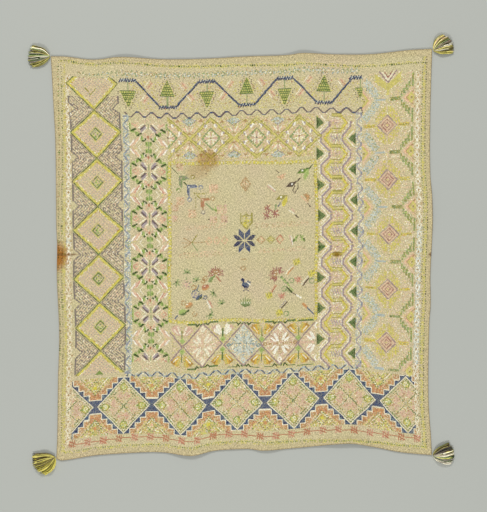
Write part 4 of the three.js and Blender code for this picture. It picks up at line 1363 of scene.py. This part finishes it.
def group(name, inputs, outputs):
    """An empty node group with named sockets: (name, kind) pairs for what goes in and what comes out."""
    made = bpy.data.node_groups.new(name, "ShaderNodeTree")
    for label, kind in inputs:
        made.interface.new_socket(label, in_out="INPUT", socket_type=kind)
    for label, kind in outputs:
        made.interface.new_socket(label, in_out="OUTPUT", socket_type=kind)
    return made, made.nodes.new("NodeGroupInput").outputs, made.nodes.new("NodeGroupOutput").inputs


def use(tree, made, inputs):
    """Places a group in a tree and fills its inputs."""
    return node(tree, "ShaderNodeGroup", inputs, node_tree=made).outputs


# %% The weave as a group
weave, given, result = group("plain weave", [("Cloth", "NodeSocketVector"), ("Threads", "NodeSocketFloat")],
                             [("Height", "NodeSocketFloat"), ("Slub", "NodeSocketFloat")])
split = node(weave, "ShaderNodeSeparateXYZ", {0: given["Cloth"]}).outputs
threads, slubs = [], []
for axis, stretch in ((0, (720, 190, 1)), (1, (190, 720, 1))):
    half_turns = maths(weave, "MULTIPLY", maths(weave, "MULTIPLY", split[axis], given["Threads"]), 3.14159)
    threads.append(maths(weave, "ABSOLUTE", maths(weave, "SINE", half_turns)))
    slubs.append(noise(weave, vector(weave, "MULTIPLY", given["Cloth"], stretch), 1.0, 3.0))
slub = maths(weave, "MULTIPLY", maths(weave, "ADD", *slubs), 0.5)
weave.links.new(maths(weave, "ADD", maths(weave, "ADD", *threads), slub), result["Height"])
weave.links.new(slub, result["Slub"])

# %% The stain as a group, which also shapes the painted shade along the fold
stain_and_shade_group, given, result = group(
    "ragged stain",
    [("Place", "NodeSocketVector"), ("Middle", "NodeSocketVector"), ("Half size", "NodeSocketVector"),
     ("Ragged", "NodeSocketFloat")],
    [("Mask", "NodeSocketFloat")])
aside = vector(stain_and_shade_group, "SUBTRACT", given["Place"], given["Middle"])
scaled = vector(stain_and_shade_group, "DIVIDE", aside, given["Half size"])
distance = vector(stain_and_shade_group, "LENGTH", vector(stain_and_shade_group, "MULTIPLY", scaled, (1, 1, 0)))
rough = noise(stain_and_shade_group, given["Place"], 220.0, 4.0)
uneven = maths(stain_and_shade_group, "MULTIPLY", maths(stain_and_shade_group, "SUBTRACT", rough, 0.5), given["Ragged"])
mask = maths(stain_and_shade_group, "SUBTRACT", 1.25, maths(stain_and_shade_group, "ADD", distance, uneven), clamp=True)
stain_and_shade_group.links.new(maths(stain_and_shade_group, "SMOOTH_MIN", maths(stain_and_shade_group, "MULTIPLY", mask, 1.4), 1.0, 0.3), result["Mask"])

# %% The linen
LINEN, LINEN_PINK, LINEN_STRAW, HEM_TAN = (214, 202, 157), (214, 194, 160), (210, 198, 145), (201, 183, 137)
# Painted shade: a thin brown line where the turned hem ends, and a darker rim along the cloth's edge.
HEM_LINE_SHADE, RIM_SHADE = (150, 126, 84), (126, 96, 62)
linen, tree = new_tree("linen")
threads_uv = node(tree, "ShaderNodeUVMap", uv_map="threads").outputs[0]
place_at = node(tree, "ShaderNodeTexCoord").outputs["Object"]
woven = use(tree, weave, {"Cloth": threads_uv, "Threads": 860.0})
colour = paint(LINEN)
for scale, detail, least, gain, tint in ((9.0, 3.0, 0.4, 2.5, LINEN_PINK),
                                         (26.0, 4.0, 0.45, 2.0, LINEN_STRAW)):
    patches = maths(tree, "SUBTRACT", noise(tree, place_at, scale, detail), least)
    colour = mixed(tree, maths(tree, "MULTIPLY", patches, gain, clamp=True), colour, paint(tint))
share = node(tree, "ShaderNodeSeparateXYZ", {0: threads_uv}).outputs
near_edges = []
for axis, size in ((0, WIDTH), (1, HEIGHT)):
    for run in (share[axis], maths(tree, "SUBTRACT", 1.0, share[axis])):
        near_edges.append(maths(tree, "MULTIPLY", run, size))
nearest = near_edges[0]
for other in near_edges[1:]:
    nearest = maths(tree, "MINIMUM", nearest, other)
from_seam = maths(tree, "SUBTRACT", HEM_WIDTH + 1, nearest)
hem_mask = maths(tree, "DIVIDE", from_seam, 2.5, clamp=True)
# A thin darker line where the turned hem ends: painted shade of the hem's step.
hem_line_shade = maths(tree, "MULTIPLY", maths(tree, "ABSOLUTE", from_seam), 0.8)
hem_line_shade = maths(tree, "SUBTRACT", 1.0, hem_line_shade, clamp=True)
# A darker rim within 2.2 mm of the cloth's edge: painted shade along the edge.
rim_shade = maths(tree, "SUBTRACT", 1.0, maths(tree, "DIVIDE", nearest, 2.2), clamp=True)
for mask, most, tint in ((hem_mask, 0.5, HEM_TAN), (hem_line_shade, 0.18, HEM_LINE_SHADE), (rim_shade, 0.6, RIM_SHADE)):
    colour = mixed(tree, maths(tree, "MULTIPLY", mask, most), colour, paint(tint))
# Each stain, and the painted shade along the fold, darkens the linen.
for name, mx, my, half_x, half_y, tint, most in STAINS_AND_SHADE:
    mask = use(tree, stain_and_shade_group, {"Place": place_at, "Middle": (mx / 1000, my / 1000, 0),
                             "Half size": (half_x / 1000, half_y / 1000, 1), "Ragged": 1.1})[0]
    colour = mixed(tree, maths(tree, "MULTIPLY", mask, most), colour, paint(tint))
speckle = maths(tree, "MULTIPLY", noise(tree, place_at, 760.0, 2.0), 1.5)
uneven = maths(tree, "ADD", maths(tree, "MULTIPLY", woven["Slub"], 2.7), speckle)
bump = node(tree, "ShaderNodeBump", {"Strength": 0.5, "Distance": 0.0003, "Height": woven["Height"]})
grain = maths(tree, "SUBTRACT", uneven, 1.2)
surface(tree, darkened(tree, colour, grain), 0.95, 0.15, Normal=bump.outputs[0])

# %% The thread
# The twist of the ply as painted shade: the colour darkens a little along a spiral, in the grooves between
# the plies.
twist, given, result = group("twisted ply", [("Along", "NodeSocketVector")], [("Shade", "NodeSocketFloat")])
split = node(twist, "ShaderNodeSeparateXYZ", {0: given["Along"]}).outputs
spiral = maths(twist, "ADD", maths(twist, "MULTIPLY", split[0], 2.0), split[1])
ply = maths(twist, "SINE", maths(twist, "MULTIPLY", spiral, 6.2832))
twist.links.new(maths(twist, "ADD", 0.97, maths(twist, "MULTIPLY", ply, 0.06)), result["Shade"])

thread, tree = new_tree("thread")
carried = node(tree, "ShaderNodeAttribute", attribute_name="thread_colour").outputs["Color"]
shade = use(tree, twist, {"Along": node(tree, "ShaderNodeUVMap", uv_map="stitch").outputs[0]})["Shade"]
surface(tree, darkened(tree, carried, shade), 0.85, 0.12)

cloth.data.materials.append(linen)
for piece in worked + tassels:
    piece.data.materials.append(thread)

# %% [markdown]
# ## What each piece stands for
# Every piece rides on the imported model's one body and takes the place of the solid that it refines. The
# stitches and the linen together replace the plain cloth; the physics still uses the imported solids.

# %% Pieces and the frame
for piece in [cloth] + worked:
    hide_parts("ground_cloth")
    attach(piece, "root")
for piece, row in zip(tassels, TASSELS):
    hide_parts(row[0])
    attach(piece, "root")

# %% [markdown]
# ## Table, light and camera
# The sampler lies on a pale plain table and is seen from straight above, as it was photographed. One hard
# lamp would throw every stitch into relief; the even daylight of a copy stand is closer, so wide soft lamps
# stand past its head and foot.

# %% Table
TABLE_HALF, TABLE_DROP = 1600.0, 0.3
table_points = np.array([(-1, -1, 0), (1, -1, 0), (1, 1, 0), (-1, 1, 0)]) * TABLE_HALF - [0, 0, TABLE_DROP]
table_piece = build("table", table_points, np.array([(0, 1, 2, 3)]))
board, tree = new_tree("table paper")
surface(tree, paint((178, 180, 173)), 0.9, 0.1)
table_piece.data.materials.append(board)

# %% Lamps
# Columns: name, place in metres, size in metres and power in watts.
LAMPS = [("lamp_head", (-0.3, 2.6, 2.6), 0.7, 64.0), ("lamp_foot", (-0.1, -2.8, 2.6), 0.7, 63.0)]
for name, at, size, power in LAMPS:
    lamp = bpy.data.lights.new(name, "AREA")
    lamp.shape, lamp.size, lamp.energy = "SQUARE", size, power
    holder = bpy.data.objects.new(name, lamp)
    holder.location = at
    aim_at = np.array(at) / np.linalg.norm(at)
    holder.rotation_euler = (np.arccos(aim_at[2]), 0, np.arctan2(aim_at[1], aim_at[0]) + np.pi / 2)
    bpy.context.scene.collection.objects.link(holder)
world = bpy.data.worlds.new("room")
world.use_nodes = True
sky = world.node_tree.nodes["Background"].inputs
sky["Color"].default_value = (0.97, 0.99, 1.0, 1)
sky["Strength"].default_value = 0.46
bpy.context.scene.world = world
bpy.context.scene.view_settings.view_transform = "Standard"

# %% Camera
# The photograph spans 0.9216 m from top to bottom.
DISTANCE, SPAN = 2.5, 0.9216
camera = bpy.data.cameras.new("camera")
camera.sensor_width = 36.0
camera.lens = camera.sensor_width * DISTANCE / SPAN
holder = bpy.data.objects.new("camera", camera)
holder.location = (0, -0.0018, DISTANCE)
bpy.context.scene.collection.objects.link(holder)
bpy.context.scene.camera = holder
